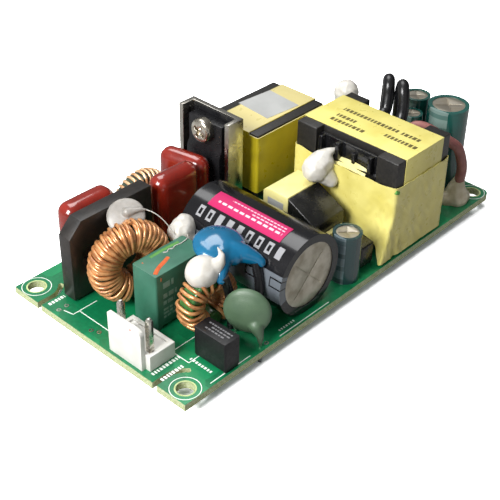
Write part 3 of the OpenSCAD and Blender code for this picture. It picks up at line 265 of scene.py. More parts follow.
def upright_sleeve_finish(name, colour, stripe_colour, cans):
    """Printed PVC shrink sleeve on upright cans, each with a grey polarity stripe towards the mains end."""
    made, tree, shader, place = finish(name, colour, 0.24, Coat_Weight=0.5, Coat_Roughness=0.08)
    parts = add(tree, "ShaderNodeSeparateXYZ", place).node
    total = None
    for x, y, r in cans:
        side = add(tree, MATH, parts.outputs[0], (x - r * 0.8) * MM, operation="LESS_THAN")
        near = inside(tree, parts.outputs[0], (x - r - 0.3) * MM, (x + r) * MM)
        row = inside(tree, parts.outputs[1], (y - r * 0.55) * MM, (y + r * 0.45) * MM)
        here = add(tree, MATH, add(tree, MATH, side, near, operation="MULTIPLY"), row, operation="MULTIPLY")
        total = here if total is None else add(tree, MATH, total, here, operation="MAXIMUM")
    beat = add(tree, MATH, add(tree, MATH, parts.outputs[2], 3.2 * MM, operation="DIVIDE"), operation="FRACT")
    dash = add(tree, RANGE, inside(tree, beat, 0.25, 0.6), 0, 1, 1, 0.45)
    stripe = add(tree, MATH, total, dash, operation="MULTIPLY")
    tree.links.new(blend(tree, stripe, colour, stripe_colour), shader.inputs["Base Color"])
    relief(tree, shader, add(tree, NOISE, place, None, per_mm(1.2), 2.0), 0.03)
    return made


def ferrite_finish():
    """Sintered manganese-zinc ferrite, ground: matt charcoal with a faint sparkle and chipped spots."""
    made, tree, shader, place = finish("ferrite_ground", "#1b1a19", 0.4)
    vary(tree, shader, place, "#191817", "#252320", 0.5, 4.0)
    grain(tree, shader, place, 0.3, 0.04)
    return made


MATS = {
    "board": board_finish(),
    "nylon": moulded("nylon_66_natural", "#d6d5cf", "#cccac3", 0.42, 3.0, 0.01),
    "tin": metal("brass_tin_plated", "#dcd9d0", "#c2beb3", 0.24),
    "fuse_case": moulded("fuse_case_pbt", "#121214", "#0e0e10", 0.42, 1.5, 0.02, shine=0.35),
    "thermistor_coat": moulded("thermistor_phenolic_coat", "#4d634b", "#465c46", 0.45, 3.0, 0.03),
    "film_case": moulded("film_capacitor_case_pbt", "#366b57", "#2e5f4c", 0.4, 4.0, 0.01),
    "green_core": dipped_finish("ring_core_parylene_green", "#3d7036", "#32602d"),
    "dark_core": moulded("ring_core_coat_dark", "#3c4a3c", "#2f3a2f", 0.5),
    "copper": wire_finish("enamelled_copper", "#d69a62", "#8a4c26"),
    "light_copper": wire_finish("enamelled_copper_pale", "#e6c096", "#c08a5c"),
    "rectifier_case": moulded("epoxy_moulding_dark", "#1d1b1a", "#282421", 0.36, 3.0, 0.02),
    "red_coat": dipped_finish("epoxy_dip_red", "#851f11", "#70190e"),
    "sink_metal": metal("aluminium_sheet_bright", "#c9c6be", "#a8a49a", 0.24, 4.0),
    "black_case": moulded("epoxy_moulding_black", "#101012", "#161618", 0.3, 2.0, 0.02, shine=0.3),
    "screw_metal": metal("steel_nickel_plated", "#e0dbce", "#a79f8f", 0.2),
    "ferrite": ferrite_finish(),
    "bobbin": moulded("phenolic_bobbin_black", "#0d0d0f", "#141416", 0.22, 3.0, 0.01, 0.4),
    "olive_tape": tape_finish("polyester_tape_olive", "#bba91f", "#a08f16", top="#cfc285"),
    "yellow_tape": tape_finish("polyester_tape_yellow", "#d9ce78", "#cabd60"),
    "pale_tape": tape_finish("polyester_tape_pale", "#ddd492", "#cfc57a"),
    "plain_label": moulded("paper_label_coated", "#a9aaa8", "#9fa09e", 0.5, 5.0, 0.01),
    "black_tape": moulded("polyester_tape_black", "#111110", "#191917", 0.22, 2.5, 0.02),
    "can_metal": metal("aluminium_can_etched", "#c2bcae", "#a39b8b", 0.42, 3.0),
    "black_sleeve": bulk_sleeve_finish(),
    "magenta_print": label_finish(),
    "dark_teal_sleeve": upright_sleeve_finish("pvc_sleeve_dark_green", "#1f3a3b", "#66767c",
                                              [(0.2, -21.4, 3.15)]),
    "teal_sleeve": upright_sleeve_finish("pvc_sleeve_teal", "#0e4a43", "#6f8580",
                                         [(45.6, -13.9, 4.8), (45.9, -4.9, 3.15), (40.4, -7.6, 2.5)]),
    "drum_sleeve": moulded("shrink_tube_black", "#111112", "#1a1918", 0.25, 1.5, 0.02),
    "blue_coat": dipped_finish("epoxy_dip_blue", "#056188", "#04577a"),
    "dark_blue_coat": dipped_finish("epoxy_dip_dark_blue", "#2f7fb5", "#256a9c"),
    "black_tube": moulded("silicone_tube_black", "#141416", "#101012", 0.3, 3.0, 0.004, shine=0.45),
    "pink_tube": moulded("silicone_tube_pink", "#93605a", "#82504c", 0.5, 2.0, 0.01),
    "glue": glue_finish("silicone_sealant_white", "#cac7c0", "#bcb8af"),
    # the same white sealant made darker: painted shade for the saucer of glue on the bridge
    "painted_shade_glue": glue_finish("silicone_sealant_shaded", "#94908a", "#84807a"),
    "beige_glue": glue_finish("silicone_sealant_beige", "#c4bba5", "#b3a88f"),
    "chip_case": moulded("chip_package_black", "#232327", "#2c2c31", 0.5),
    "chip_parts": moulded("chip_ceramic_tan", "#8d7a5a", "#a08c68", 0.5, 1.0),
    "solder": metal("solder_tin_silver", "#c9cbce", "#a9acb0", 0.25),
    "bare_laminate": moulded("bare_laminate_rim", "#b9c48a", "#a3b078", 0.5, 1.0, 0.01),
    "orange_mark": moulded("inspection_paint_orange", "#c85a22", "#b54c1a", 0.5, 1.0, 0.03),
    "green_mark": moulded("inspection_paint_green", "#4f8a3a", "#47803a", 0.5, 1.0, 0.02),
    "brown_print": moulded("tape_print_brown", "#5f5628", "#544c22", 0.5, 1.0, 0.0),
    "pale_print": moulded("printed_bars_pale", "#7c9d90", "#718f83", 0.5, 1.0, 0.0),
    "grey_print": moulded("printed_bars_grey", "#707072", "#666668", 0.5, 1.0, 0.0),
    "ink": moulded("silkscreen_ink_white", "#eef3ec", "#dfe6dd", 0.6, 1.0, 0.01),
}


# ---- Shapes ----

def piece(name, mesh, slot, body="root", replaces=()):
    """Puts a finished mesh in the scene as a piece of the object."""
    made = bpy.data.objects.new(name, mesh)
    bpy.context.scene.collection.objects.link(made)
    if not mesh.materials:
        mesh.materials.append(MATS[slot])
    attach(made, body)
    if replaces:
        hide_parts(*replaces)
    return made


NODE_SLOT = {s["node"]: s["material_slot"] for s in frame["record"]["subparts"]}


def mesh_of(bm, angle=35.0):
    """A mesh from a bmesh, smooth apart from edges sharper than an angle."""
    bmesh.ops.recalc_face_normals(bm, faces=bm.faces)
    mesh = bpy.data.meshes.new("m")
    bm.to_mesh(mesh)
    bm.free()
    mesh.shade_smooth()
    mesh.set_sharp_from_angle(angle=math.radians(angle))
    return mesh


LOWERED = {"inlet_housing": (8.0, 1.1), "outlet_housing": (8.0, 1.1)}  # lock walls: above a height, by how much


def softened(node, width, segments=2, angle=30.0, name=None):
    """A copy of a CAD solid with its sharp edges rounded by a width in millimetres, in the solid's place."""
    bm = bmesh.new()
    bm.from_mesh(frame["nodes"][node].data)
    above, drop = LOWERED.get(node, (1e6, 0))
    for v in bm.verts:
        if v.co.z > (TOP + above) * MM:
            v.co.z -= drop * MM
    bmesh.ops.remove_doubles(bm, verts=bm.verts, dist=2e-6)
    bmesh.ops.dissolve_limit(bm, angle_limit=math.radians(0.6), verts=bm.verts, edges=bm.edges)
    if width:
        sharp = [e for e in bm.edges if len(e.link_faces) == 2 and e.calc_face_angle(0) > math.radians(angle)]
        bmesh.ops.bevel(bm, geom=sharp, offset=width * MM, segments=segments, profile=0.6,
                        affect="EDGES", clamp_overlap=True)
    mesh = mesh_of(bm)
    return piece(name or node + "_form", mesh, NODE_SLOT[node], replaces=[node])


def smooth_copy(node, angle=35.0):
    """A copy of a CAD solid that is shaded smooth, in the solid's place."""
    return softened(node, 0, angle=angle)


def sweep_tree():
    """A round section swept along a path: wire, tube or sleeve."""
    tree = bpy.data.node_groups.new("swept_tube", "GeometryNodeTree")
    tree.interface.new_socket("Geometry", in_out="INPUT", socket_type="NodeSocketGeometry")
    for name, kind in (("Diameter", "NodeSocketFloat"), ("Sides", "NodeSocketInt"), ("Finish", "NodeSocketMaterial")):
        tree.interface.new_socket(name, in_out="INPUT", socket_type=kind)
    tree.interface.new_socket("Geometry", in_out="OUTPUT", socket_type="NodeSocketGeometry")
    given = tree.nodes.new("NodeGroupInput").outputs
    section = add(tree, "GeometryNodeCurvePrimitiveCircle", named={"Resolution": given["Sides"]})
    section_size = add(tree, MATH, given["Diameter"], 0.5, operation="MULTIPLY")
    scaled = add(tree, "GeometryNodeTransform", section,
                 named={"Scale": add(tree, "ShaderNodeCombineXYZ", section_size, section_size, section_size)})
    path = add(tree, "GeometryNodeMeshToCurve", given["Geometry"])
    tube = add(tree, "GeometryNodeCurveToMesh", path, scaled, named={"Fill Caps": True})
    tube = add(tree, "GeometryNodeSetShadeSmooth", tube)
    tube = add(tree, "GeometryNodeRealizeInstances", tube)
    tube = add(tree, "GeometryNodeSetMaterial", tube, named={"Material": given["Finish"]})
    add(tree, "NodeGroupOutput", tube)
    return tree


SWEEP = sweep_tree()


def swept(name, paths, diameter, sides, slot, replaces=()):
    """Tubes of one diameter in millimetres along paths of points in metres, as one piece."""
    mesh = bpy.data.meshes.new(name)
    points, edges = [], []
    for path in paths:
        edges += [(len(points) + i, len(points) + i + 1) for i in range(len(path) - 1)]
        points += [tuple(p) for p in path]
    mesh.from_pydata(points, edges, [])
    holder = bpy.data.objects.new(name, mesh)
    bpy.context.scene.collection.objects.link(holder)
    modifier = holder.modifiers.new("sweep", "NODES")
    modifier.node_group = SWEEP
    sockets = {s.name: s.identifier for s in SWEEP.interface.items_tree if s.in_out == "INPUT"}
    modifier[sockets["Diameter"]] = diameter * MM
    modifier[sockets["Sides"]] = sides
    modifier[sockets["Finish"]] = MATS[slot]
    bpy.context.view_layer.update()
    made = bpy.data.meshes.new_from_object(holder.evaluated_get(bpy.context.evaluated_depsgraph_get()))
    bpy.data.objects.remove(holder)
    bm = bmesh.new()
    bm.from_mesh(made)
    made = mesh_of(bm, 60)
    return piece(name, made, slot, replaces=replaces)


def spot(x, y, z=0.0):
    """A point from the board's centre and upper face, given in millimetres."""
    return Vector((x, y, z + TOP)) * MM


def smooth_route(points, steps):
    """Catmull-Rom points through the given ones."""
    points = [Vector(p) for p in points]
    ends = [points[0]] + points + [points[-1]]
    found = []
    for i in range(1, len(ends) - 2):
        a, b, c, d = ends[i - 1:i + 3]
        for s in range(steps):
            u = s / steps
            found.append(0.5 * (2 * b + (c - a) * u + (2 * a - 5 * b + 4 * c - d) * u * u
                                + (3 * b - a - 3 * c + d) * u ** 3))
    return found + [points[-1]]


def ring_turns(centre, turn, mean_r, half_w, half_h, wire, turns, start, end, per_turn=22, square=2.6,
               layers=(0.0,), seed=1, wobble=0.5, slip=0.0):
    """The path of a wire wound round an upright ring, from one angle to another, turn after turn."""
    rng = np.random.default_rng(seed)
    count = int(turns * per_turn) + 1
    t = np.linspace(0, 1, count)
    phase = 2 * math.pi * turns * t
    whole = np.minimum((turns * t).astype(int), int(turns))
    lean = rng.normal(0, wobble, int(turns) + 2)
    lift = rng.uniform(-0.04, 0.08, int(turns) + 2)
    level = np.array([layers[w % len(layers)] for w in whole])
    # a layer's step is spread over a fifth of a turn
    part = turns * t - whole
    before = np.array([layers[(w - 1) % len(layers)] for w in whole])
    ease = np.clip(part / 0.2, 0, 1)
    level = before + (level - before) * ease * ease * (3 - 2 * ease)
    height = lift[whole] * (1 - ease) + lift[whole + 1] * ease
    angle = np.radians(start + (end - start) * t + lean[whole] * (1 - ease) + lean[whole + 1] * ease
                       + slip * np.sin(phase))
    a, b = half_w + level + height, half_h + level + height
    reach = (np.abs(np.cos(phase) / a) ** square + np.abs(np.sin(phase) / b) ** square) ** (-1 / square)
    out = mean_r + reach * np.cos(phase)
    side = reach * np.sin(phase)
    x, y, z = out * np.cos(angle), -side, out * np.sin(angle)
    c, s = math.cos(math.radians(-turn)), math.sin(math.radians(-turn))
    return [spot(centre[0] + c * xi - s * yi, centre[1] + s * xi + c * yi, centre[2] + zi)
            for xi, yi, zi in zip(x, y, z)]


# ---- Circuit board ----

HALF_L, HALF_W, INSET = 50.8, 25.4, 3.18


def board_marks():
    """Bare rings round the screw holes, lines of white ink, and tinned via pads."""
    bm = bmesh.new()
    lift = 0.03
    sides = 48

    def ring(x, y, inner, outer, index):
        loops = [[bm.verts.new(spot(x + r * math.cos(a), y + r * math.sin(a), h))
                  for a in np.linspace(0, 2 * math.pi, sides, endpoint=False)]
                 for r, h in ((inner, 0.0), (inner, lift), (outer, lift), (outer, 0.0))]
        for low, high in zip(loops, loops[1:]):
            for i in range(sides):
                j = (i + 1) % sides
                bm.faces.new((low[i], low[j], high[j], high[i])).material_index = index

    def line(points, width):
        for (x0, y0), (x1, y1) in zip(points, points[1:]):
            along = Vector((x1 - x0, y1 - y0)).normalized()
            off = Vector((-along.y, along.x)) * width / 2
            corners = [(x0 - off.x, y0 - off.y), (x1 - off.x, y1 - off.y), (x1 + off.x, y1 + off.y), (x0 + off.x, y0 + off.y)]
            low = [bm.verts.new(spot(x, y, 0)) for x, y in corners]
            high = [bm.verts.new(spot(x, y, lift)) for x, y in corners]
            bm.faces.new(high).material_index = 0
            for i in range(4):
                j = (i + 1) % 4
                bm.faces.new((low[i], low[j], high[j], high[i])).material_index = 0

    for sx in (-1, 1):
        for sy in (-1, 1):
            ring(sx * (HALF_L - INSET), sy * (HALF_W - INSET), 1.84, 2.15, 2)
            ring(sx * (HALF_L - INSET), sy * (HALF_W - INSET), 2.98, 3.12, 0)
    line([(-48.7, 12.0), (-48.2, 9.6), (-42.0, 9.6)], 0.2)
    line([(-46.6, 9.6), (-46.6, 0.4), (-43.0, 0.4)], 0.2)
    line([(-42.2, -12.2), (-42.2, -17.6), (-30.5, -17.6), (-30.5, -12.9), (-42.2, -12.9)], 0.18)
    line([(-43.4, -24.6), (-32.5, -24.6)], 0.18)
    line([(-24.2, -24.8), (-9.0, -24.8)], 0.18)
    for x, y in ((-49.3, 12.8), (-47.3, 12.8), (-48.9, 3.2), (-48.2, 1.6), (-43.3, 14.7), (-27.5, -24.3)):
        ring(x, y, 0.25, 0.5, 1)
    mesh = mesh_of(bm)
    mesh.materials.append(MATS["ink"])
    mesh.materials.append(MATS["tin"])
    mesh.materials.append(MATS["bare_laminate"])
    return piece("board_ink_and_pads", mesh, "board")


board_marks()


# ---- Wound parts ----

MAIN = (-36.4, 5.2, 9.6)
MAIN_WIRE = 0.82
for label, start, end, seed in (("a", 89, 264, 3), ("b", -84, 90, 8)):
    under = ring_turns(MAIN, 12, 5.7, 2.55, 2.5, MAIN_WIRE, 19, start, end, seed=seed, wobble=0.5)
    over = ring_turns(MAIN, 12, 5.7, 2.95, 2.9, MAIN_WIRE, 18, start + 4, end - 4, seed=seed + 1, wobble=1.2,
                      slip=1.5)
    swept(f"main_choke_wire_{label}", [under, over], MAIN_WIRE, 8, "copper",
          replaces=[f"main_choke_winding_{label}"])
REAR = (-19.2, 20.4, 8.55)
swept("rear_choke_wire", [ring_turns(REAR, 0, 5.4, 2.25, 2.2, 0.7, 30, -60, 240, seed=5, wobble=0.6)], 0.7, 8,
      "light_copper", replaces=["rear_choke_winding"])
SMALL = (-32.0, -12.3, 6.95)
for label, turns, start, end, seed in (("a", 10, 99, 245, 4), ("b", 13, -66, 81, 6)):
    swept(f"small_choke_wire_{label}", [ring_turns(SMALL, 0, 4.5, 2.0, 2.45, 0.8, turns, start, end, seed=seed,
                                                   wobble=2.2, square=3.2)],
          0.8, 8, "copper", replaces=[f"small_choke_winding_{label}"])


# ---- Dipped and coated parts ----

def turned(mesh_piece_bm, degrees):
    """Turns a bmesh about Z."""
    bmesh.ops.rotate(mesh_piece_bm, matrix=Matrix.Rotation(math.radians(degrees), 3, "Z"),
                     verts=mesh_piece_bm.verts)


def pillow(name, centre, size, radius, turn, slot, node, belly=0.25, segments=6):
    """A dipped block: round edges, and faces that swell a little in the middle."""
    bm = bmesh.new()
    bmesh.ops.create_cube(bm, size=1)
    bmesh.ops.scale(bm, vec=Vector(size) * MM, verts=bm.verts)
    bmesh.ops.bevel(bm, geom=bm.edges[:], offset=radius * MM, segments=segments, profile=0.5, affect="EDGES")
    bmesh.ops.subdivide_edges(bm, edges=[e for e in bm.edges if e.calc_length() > 2 * MM], cuts=6, use_grid_fill=True)
    half = Vector(size) * MM / 2
    for v in bm.verts:
        n = [v.co[i] / half[i] for i in range(3)]
        for i in range(3):
            others = [1 - abs(n[j]) ** 3 for j in range(3) if j != i]
            v.co[i] += math.copysign(belly * MM, n[i]) * max(abs(n[i]) - 0.4, 0) * others[0] * others[1] - (
                math.copysign(belly * MM, n[i]) * 0.55 * abs(n[i]))
        v.co += Vector((1, 1, 1)) * 0.05 * MM * noise.noise(v.co / (3 * MM))
    turned(bm, turn)
    bmesh.ops.translate(bm, vec=spot(*centre), verts=bm.verts)
    return piece(name, mesh_of(bm, 70), slot, replaces=[node])


CAPS = (("a", (-34.2, 20.6, 9.7), (13.2, 5.8, 15.2), 0), ("b", (-15.6, 14, 10.3), (12.4, 5.2, 16.2), 0),
        ("c", (-7.8, 18.7, 9.8), (12.2, 5.0, 15.2), -79))
for label, centre, size, turn in CAPS:
    pillow(f"film_capacitor_{label}_coat", centre, size, 2.4, turn, "red_coat", f"film_capacitor_{label}")
    # two tinned legs that reach a little way up into the coat
    reach = size[0] / 2 - 2.4
    foot = centre[2] - size[2] / 2
    c, s_ = math.cos(math.radians(turn)), math.sin(math.radians(turn))
    legs = [[spot(centre[0] + k * reach * c, centre[1] + k * reach * s_, z) for z in (0, foot + 0.8)] for k in (-1, 1)]
    swept(f"film_capacitor_{label}_legs", legs, 0.7, 12, "tin")


def evaluated(bm, *modifiers):
    """The mesh that a bmesh gives after modifiers, each a type with its settings."""
    mesh = bpy.data.meshes.new("m")
    bm.to_mesh(mesh)
    bm.free()
    holder = bpy.data.objects.new("m", mesh)
    bpy.context.scene.collection.objects.link(holder)
    for kind, settings in modifiers:
        modifier = holder.modifiers.new(kind, kind)
        for key, value in settings.items():
            setattr(modifier, key, value)
    bpy.context.view_layer.update()
    made = bpy.data.meshes.new_from_object(holder.evaluated_get(bpy.context.evaluated_depsgraph_get()))
    bpy.data.objects.remove(holder)
    found = bmesh.new()
    found.from_mesh(made)
    return found


def run_out(name, slot, strokes, lenses=(), replaces=(), voxel=0.22, smooth=6, lumps=0.08, size=1.6):
    """Stuff that was squeezed or dipped and then set, as one skin round rows of drops and flat lenses.
    Each stroke is points with a radius, and each lens a centre, three radii and a direction of its axis."""
    bm = bmesh.new()
    for stroke in strokes:
        for start, end in zip(stroke, stroke[1:]):
            steps = max(1, int(math.dist(start[:3], end[:3]) / (0.22 * min(start[3], end[3]) + 0.04)))
            for i in range(steps + 1):
                x, y, z, r = [p + (q - p) * i / steps for p, q in zip(start, end)]
                bmesh.ops.create_icosphere(bm, subdivisions=2, radius=r * MM, matrix=Matrix.Translation(spot(x, y, z)))
    for centre, radii, axis in lenses:
        turn = Vector(axis).to_track_quat("Z", "Y").to_matrix().to_4x4()
        shape = Matrix.Diagonal((*radii, 1))
        bmesh.ops.create_icosphere(bm, subdivisions=4, radius=MM, matrix=Matrix.Translation(spot(*centre)) @ turn @ shape)
    bm = evaluated(bm, ("REMESH", {"mode": "VOXEL", "voxel_size": voxel * MM}),
                   ("SMOOTH", {"factor": 0.5, "iterations": smooth}))
    bm.normal_update()
    for v in bm.verts:
        v.co += v.normal * lumps * MM * noise.noise(v.co / (size * MM))
    return piece(name, mesh_of(bm, 80), slot, replaces=replaces)


run_out("blue_capacitor_body", "blue_coat",
        [[(-25.4, -12.6, 15.4, 2.4), (-24.1, -14.9, 15.0, 2.0), (-23.0, -16.9, 14.4, 1.35), (-22.6, -17.9, 13.7, 1.1)],
         [(-27.8, -12.4, 15.3, 2.4), (-29.4, -13.9, 14.6, 1.8), (-30.7, -15.0, 13.8, 1.25), (-31.2, -15.5, 12.9, 1.1)],
         [(-27.0, -13.2, 15.1, 2.1), (-26.2, -14.2, 14.9, 1.7)]],
        [((-26.4, -10.2, 16.0), (5.3, 5.3, 2.1), (-0.05, -0.14, 1)),
         ((-26.4, -10.2, 16.0), (4.6, 4.6, 2.35), (-0.05, -0.14, 1))],
        replaces=["blue_capacitor"], smooth=10, lumps=0.04, size=3)
# the saucer of glue on the bridge takes the darkened sealant, which paints its shade into the colour
run_out("bridge_glue_run", "painted_shade_glue",
        [[(-33.5, 8.4, 18.3, 1.1), (-32.6, 7.6, 18.7, 0.75), (-31.7, 6.8, 18.9, 0.45), (-30.7, 6.0, 18.8, 0.22)]],
        [((-33.8, 8.6, 17.4), (4.0, 3.9, 0.7), (-0.5, -0.42, 0.76))], replaces=["bridge_glue"], voxel=0.16,
        smooth=8, lumps=0.05, size=3)
swept("bridge_glue_thread", [[spot(*q) for q in smooth_route(
    [(-30.7, 6.0, 18.8), (-29.8, 4.6, 18.2), (-28.9, 3.4, 17.0), (-28.2, 2.2, 15.4), (-27.6, 1.2, 13.6)], 6)]],
      0.2, 8, "glue")
run_out("small_choke_glue_run", "glue",
        [[(-33.6, -12.2, 13.9, 2.9), (-32.2, -12.6, 14.0, 2.8), (-31.4, -13.7, 15.0, 1.8), (-30.5, -14.4, 16.0, 1.15),
          (-29.8, -14.3, 17.2, 0.7), (-29.8, -13.7, 18.1, 0.38), (-30.0, -13.3, 18.8, 0.18)]],
        [((-32.9, -12.2, 14.0), (3.7, 3.3, 3.1), (0, 0, 1))], replaces=["small_choke_glue"])
run_out("x_capacitor_glue_run", "glue",
        [[(-25.0, 2.0, 12.3, 2.9), (-22.9, 3.1, 12.9, 2.3)], [(-24.9, 0.8, 11.0, 2.3), (-25.6, -0.2, 10.2, 1.6)]],
        replaces=["x_capacitor_glue"], lumps=0.2)
run_out("transformer_glue_run", "glue",
        [[(7.2, -6.4, 17.2, 3.1), (9.0, -6.4, 17.8, 3.0)], [(9.4, -6.6, 19.2, 1.8), (10.6, -7.0, 20.0, 1.1),
          (11.8, -7.4, 20.4, 0.6), (12.6, -8.0, 20.6, 0.35)], [(8.8, -7.8, 15.6, 2.2), (9.6, -9.0, 14.4, 1.6)]],
        replaces=["transformer_glue"], lumps=0.15, size=2.5)
run_out("output_glue_run", "glue", [[(43.4, 14.1, 14.2, 3.1), (43.4, 14.1, 15.0, 3.2)]],
        replaces=["output_glue"], lumps=0.12)
run_out("output_disc_body", "dark_blue_coat",
        [[(43.4, 14.2, 9.4, 1.9), (41.4, 14.2, 7.0, 0.8), (41.1, 14.2, 4.6, 0.45)],
         [(43.4, 14.2, 9.4, 1.9), (45.4, 14.2, 7.0, 0.8), (45.7, 14.2, 4.6, 0.45)]],
        [((43.4, 14.2, 11.3), (3.6, 3.6, 1.7), (0, 1, 0))], replaces=["output_disc_capacitor"], lumps=0.03)
swept("output_disc_legs", [[spot(x, 14.2, 0), spot(x, 14.2, 5)] for x in (40.1 + 1.0, 45.7)], 0.6, 12, "tin")


run_out("thermistor_body", "thermistor_coat",
        [[(-29.2, -23.0, 4.6, 1.6), (-29.3, -24.2, 2.6, 0.75), (-29.2, -24.2, 0.9, 0.45)],
         [(-29.2, -18.6, 4.0, 1.4), (-29.2, -17.6, 2.4, 0.75), (-29.2, -17.6, 0.9, 0.45)]],
        [((-29.3, -20.7, 7.1), (4.9, 4.9, 1.5), (-0.86, -0.46, 0.12)),
         ((-29.3, -20.7, 7.1), (4.3, 4.3, 1.75), (-0.86, -0.46, 0.12))],
        replaces=["inrush_thermistor"], lumps=0.05, size=2.5)
swept("thermistor_legs", [[spot(-29.2, y, 0), spot(-29.2, y, 1.2)] for y in (-24.2, -17.6)], 0.6, 12, "tin")
run_out("pink_lead_glue_run", "beige_glue",
        [[(41.8, -21.3, 0.8, 3.2), (41.8, -21.3, 2.6, 2.5), (41.7, -21.5, 4.6, 1.7), (41.6, -21.8, 5.8, 1.35)],
         [(40.0, -20.2, 0.6, 2.2), (43.6, -22.0, 0.5, 2.0)]], replaces=["pink_lead_glue"], lumps=0.2, size=2.2)


# ---- Printed bars and inspection marks ----

def flat_marks(name, slot, origin, across, up, bars, lift=0.02):
    """Thin flat bars on a face: each from (u, v) with a width and a height in millimetres, along two directions."""
    across, up = Vector(across), Vector(up)
    out = across.cross(up).normalized() * lift
    bm = bmesh.new()
    for u, v, w, h in bars:
        corners = [Vector(origin) + across * a + up * b for a, b in ((u, v), (u + w, v), (u + w, v + h), (u, v + h))]
        low = [bm.verts.new(spot(*c)) for c in corners]
        high = [bm.verts.new(spot(*(c + out))) for c in corners]
        bm.faces.new(high)
        for i in range(4):
            k = (i + 1) % 4
            bm.faces.new((low[i], low[k], high[k], high[i]))
    mesh = mesh_of(bm)
    mesh.materials.append(MATS[slot])
    return piece(name, mesh, slot)


def bar_row(v, start, end, height, seed, low=0.5, high=1.4, gap=0.35):
    """A row of bars of uneven lengths, as a line of print gives."""
    rng = np.random.default_rng(seed)
    found, u = [], start
    while u < end:
        w = min(rng.uniform(low, high), end - u)
        found.append((u, v, w, height))
        u += w + gap
    return found


flat_marks("transformer_print", "brown_print", (27.0, -24.4, 24.2), (0, 1, 0), (-1, 0, 0),
           bar_row(4.1, 2.3, 7.0, 1.2, 1, 0.5, 0.9, 0.3) + bar_row(4.1, 8.0, 22.8, 1.2, 2, 0.5, 0.9, 0.3)
           + bar_row(7.2, 17.2, 22.3, 1.2, 3, 0.5, 0.9, 0.3) + bar_row(9.4, 13.3, 22.3, 1.2, 4, 0.5, 0.9, 0.3)
           + bar_row(7.2, 1.0, 9.4, 1.2, 5, 0.5, 0.9, 0.3))
flat_marks("x_capacitor_print", "pale_print", (-39.4, -6.6, 1.0), (1, 0, 0), (0, 0, 1),
           bar_row(8.6, 1.2, 4.0, 1.4, 6, 1.4, 2.2) + bar_row(6.2, 1.2, 4.8, 1.1, 7) + bar_row(4.6, 1.2, 4.2, 0.9, 8)
           + bar_row(3.2, 1.2, 4.6, 0.5, 9) + bar_row(2.3, 1.2, 4.2, 0.5, 10) + bar_row(1.4, 1.2, 4.6, 0.5, 11))
flat_marks("fuse_print", "grey_print", (-39.2, -24.6, 7.2), (0, 1, 0), (-1, 0, 0),
           [(u, v - 3.0, w, h) for u, v, w, h in bar_row(0.5, 0.6, 6.6, 0.35, 12, 0.3, 0.8, 0.2)
            + bar_row(1.3, 0.6, 5.2, 0.35, 13, 0.3, 0.8, 0.2) + bar_row(2.1, 1.4, 6.2, 0.35, 14, 0.3, 0.8, 0.2)])
# paint strokes and a thread of sealant: round strokes sunk into the face, so that only their backs show
PAINT = {"x_capacitor_paint_stroke": ("orange_mark", 2.4, [(-39.3, -5.7, 12.2), (-37.4, -4.6, 12.2), (-35.2, -3.9, 12.2),
                                                         (-33.6, -3.3, 12.17)]),
         "x_capacitor_paint_streak": ("green_mark", 2.2, [(-36.2, -0.9, 12.27), (-32.4, -0.8, 12.28), (-28.6, -1.0, 12.26)]),
         "x_capacitor_paint_dot": ("orange_mark", 0.8, [(-38.6, -1.2, 12.96), (-38.4, -1.2, 12.96)]),
         "inlet_wall_dot": ("orange_mark", 0.5, [(-49.98, -10.4, 8.6), (-49.98, -10.2, 8.6)]),
         "wrap_corner_dab": ("green_mark", 0.9, [(11.1, -24.8, 17.6), (11.9, -25.0, 17.2)])}
for name, (slot, width, points) in PAINT.items():
    swept(name, [[spot(*q) for q in smooth_route(points, 4)]], width, 24, slot)
swept("x_capacitor_glue_thread", [[spot(*q) for q in smooth_route(
    [(-33.3, -1.5, 13.36), (-32.6, -1.95, 13.36), (-31.8, -1.5, 13.36), (-31.0, -1.9, 13.36), (-30.1, -1.55, 13.36),
     (-28.4, -1.8, 13.4), (-26.6, -1.5, 13.5), (-25.4, -0.4, 13.2)], 6)]], 0.22, 6, "glue")
flat_marks("board_print", "ink", (-50, -25, 0), (1, 0, 0), (0, 1, 0),
           bar_row(40.2, 0.4, 4.4, 0.8, 21, 0.3, 0.6, 0.3) + bar_row(9.6, 0.7, 8.0, 0.8, 22, 0.3, 0.6, 0.3)
           + bar_row(7.2, 0.8, 6.4, 0.8, 23, 0.3, 0.6, 0.3) + bar_row(1.2, 27.0, 31.5, 0.5, 25, 0.3, 0.6)
           + [(v, u, h, w) for u, v, w, h in bar_row(8.6, 2.4, 8.2, 0.6, 24, 0.3, 0.6, 0.3)])


# ---- Transformer ----

CORE = (20.7, -11.0)


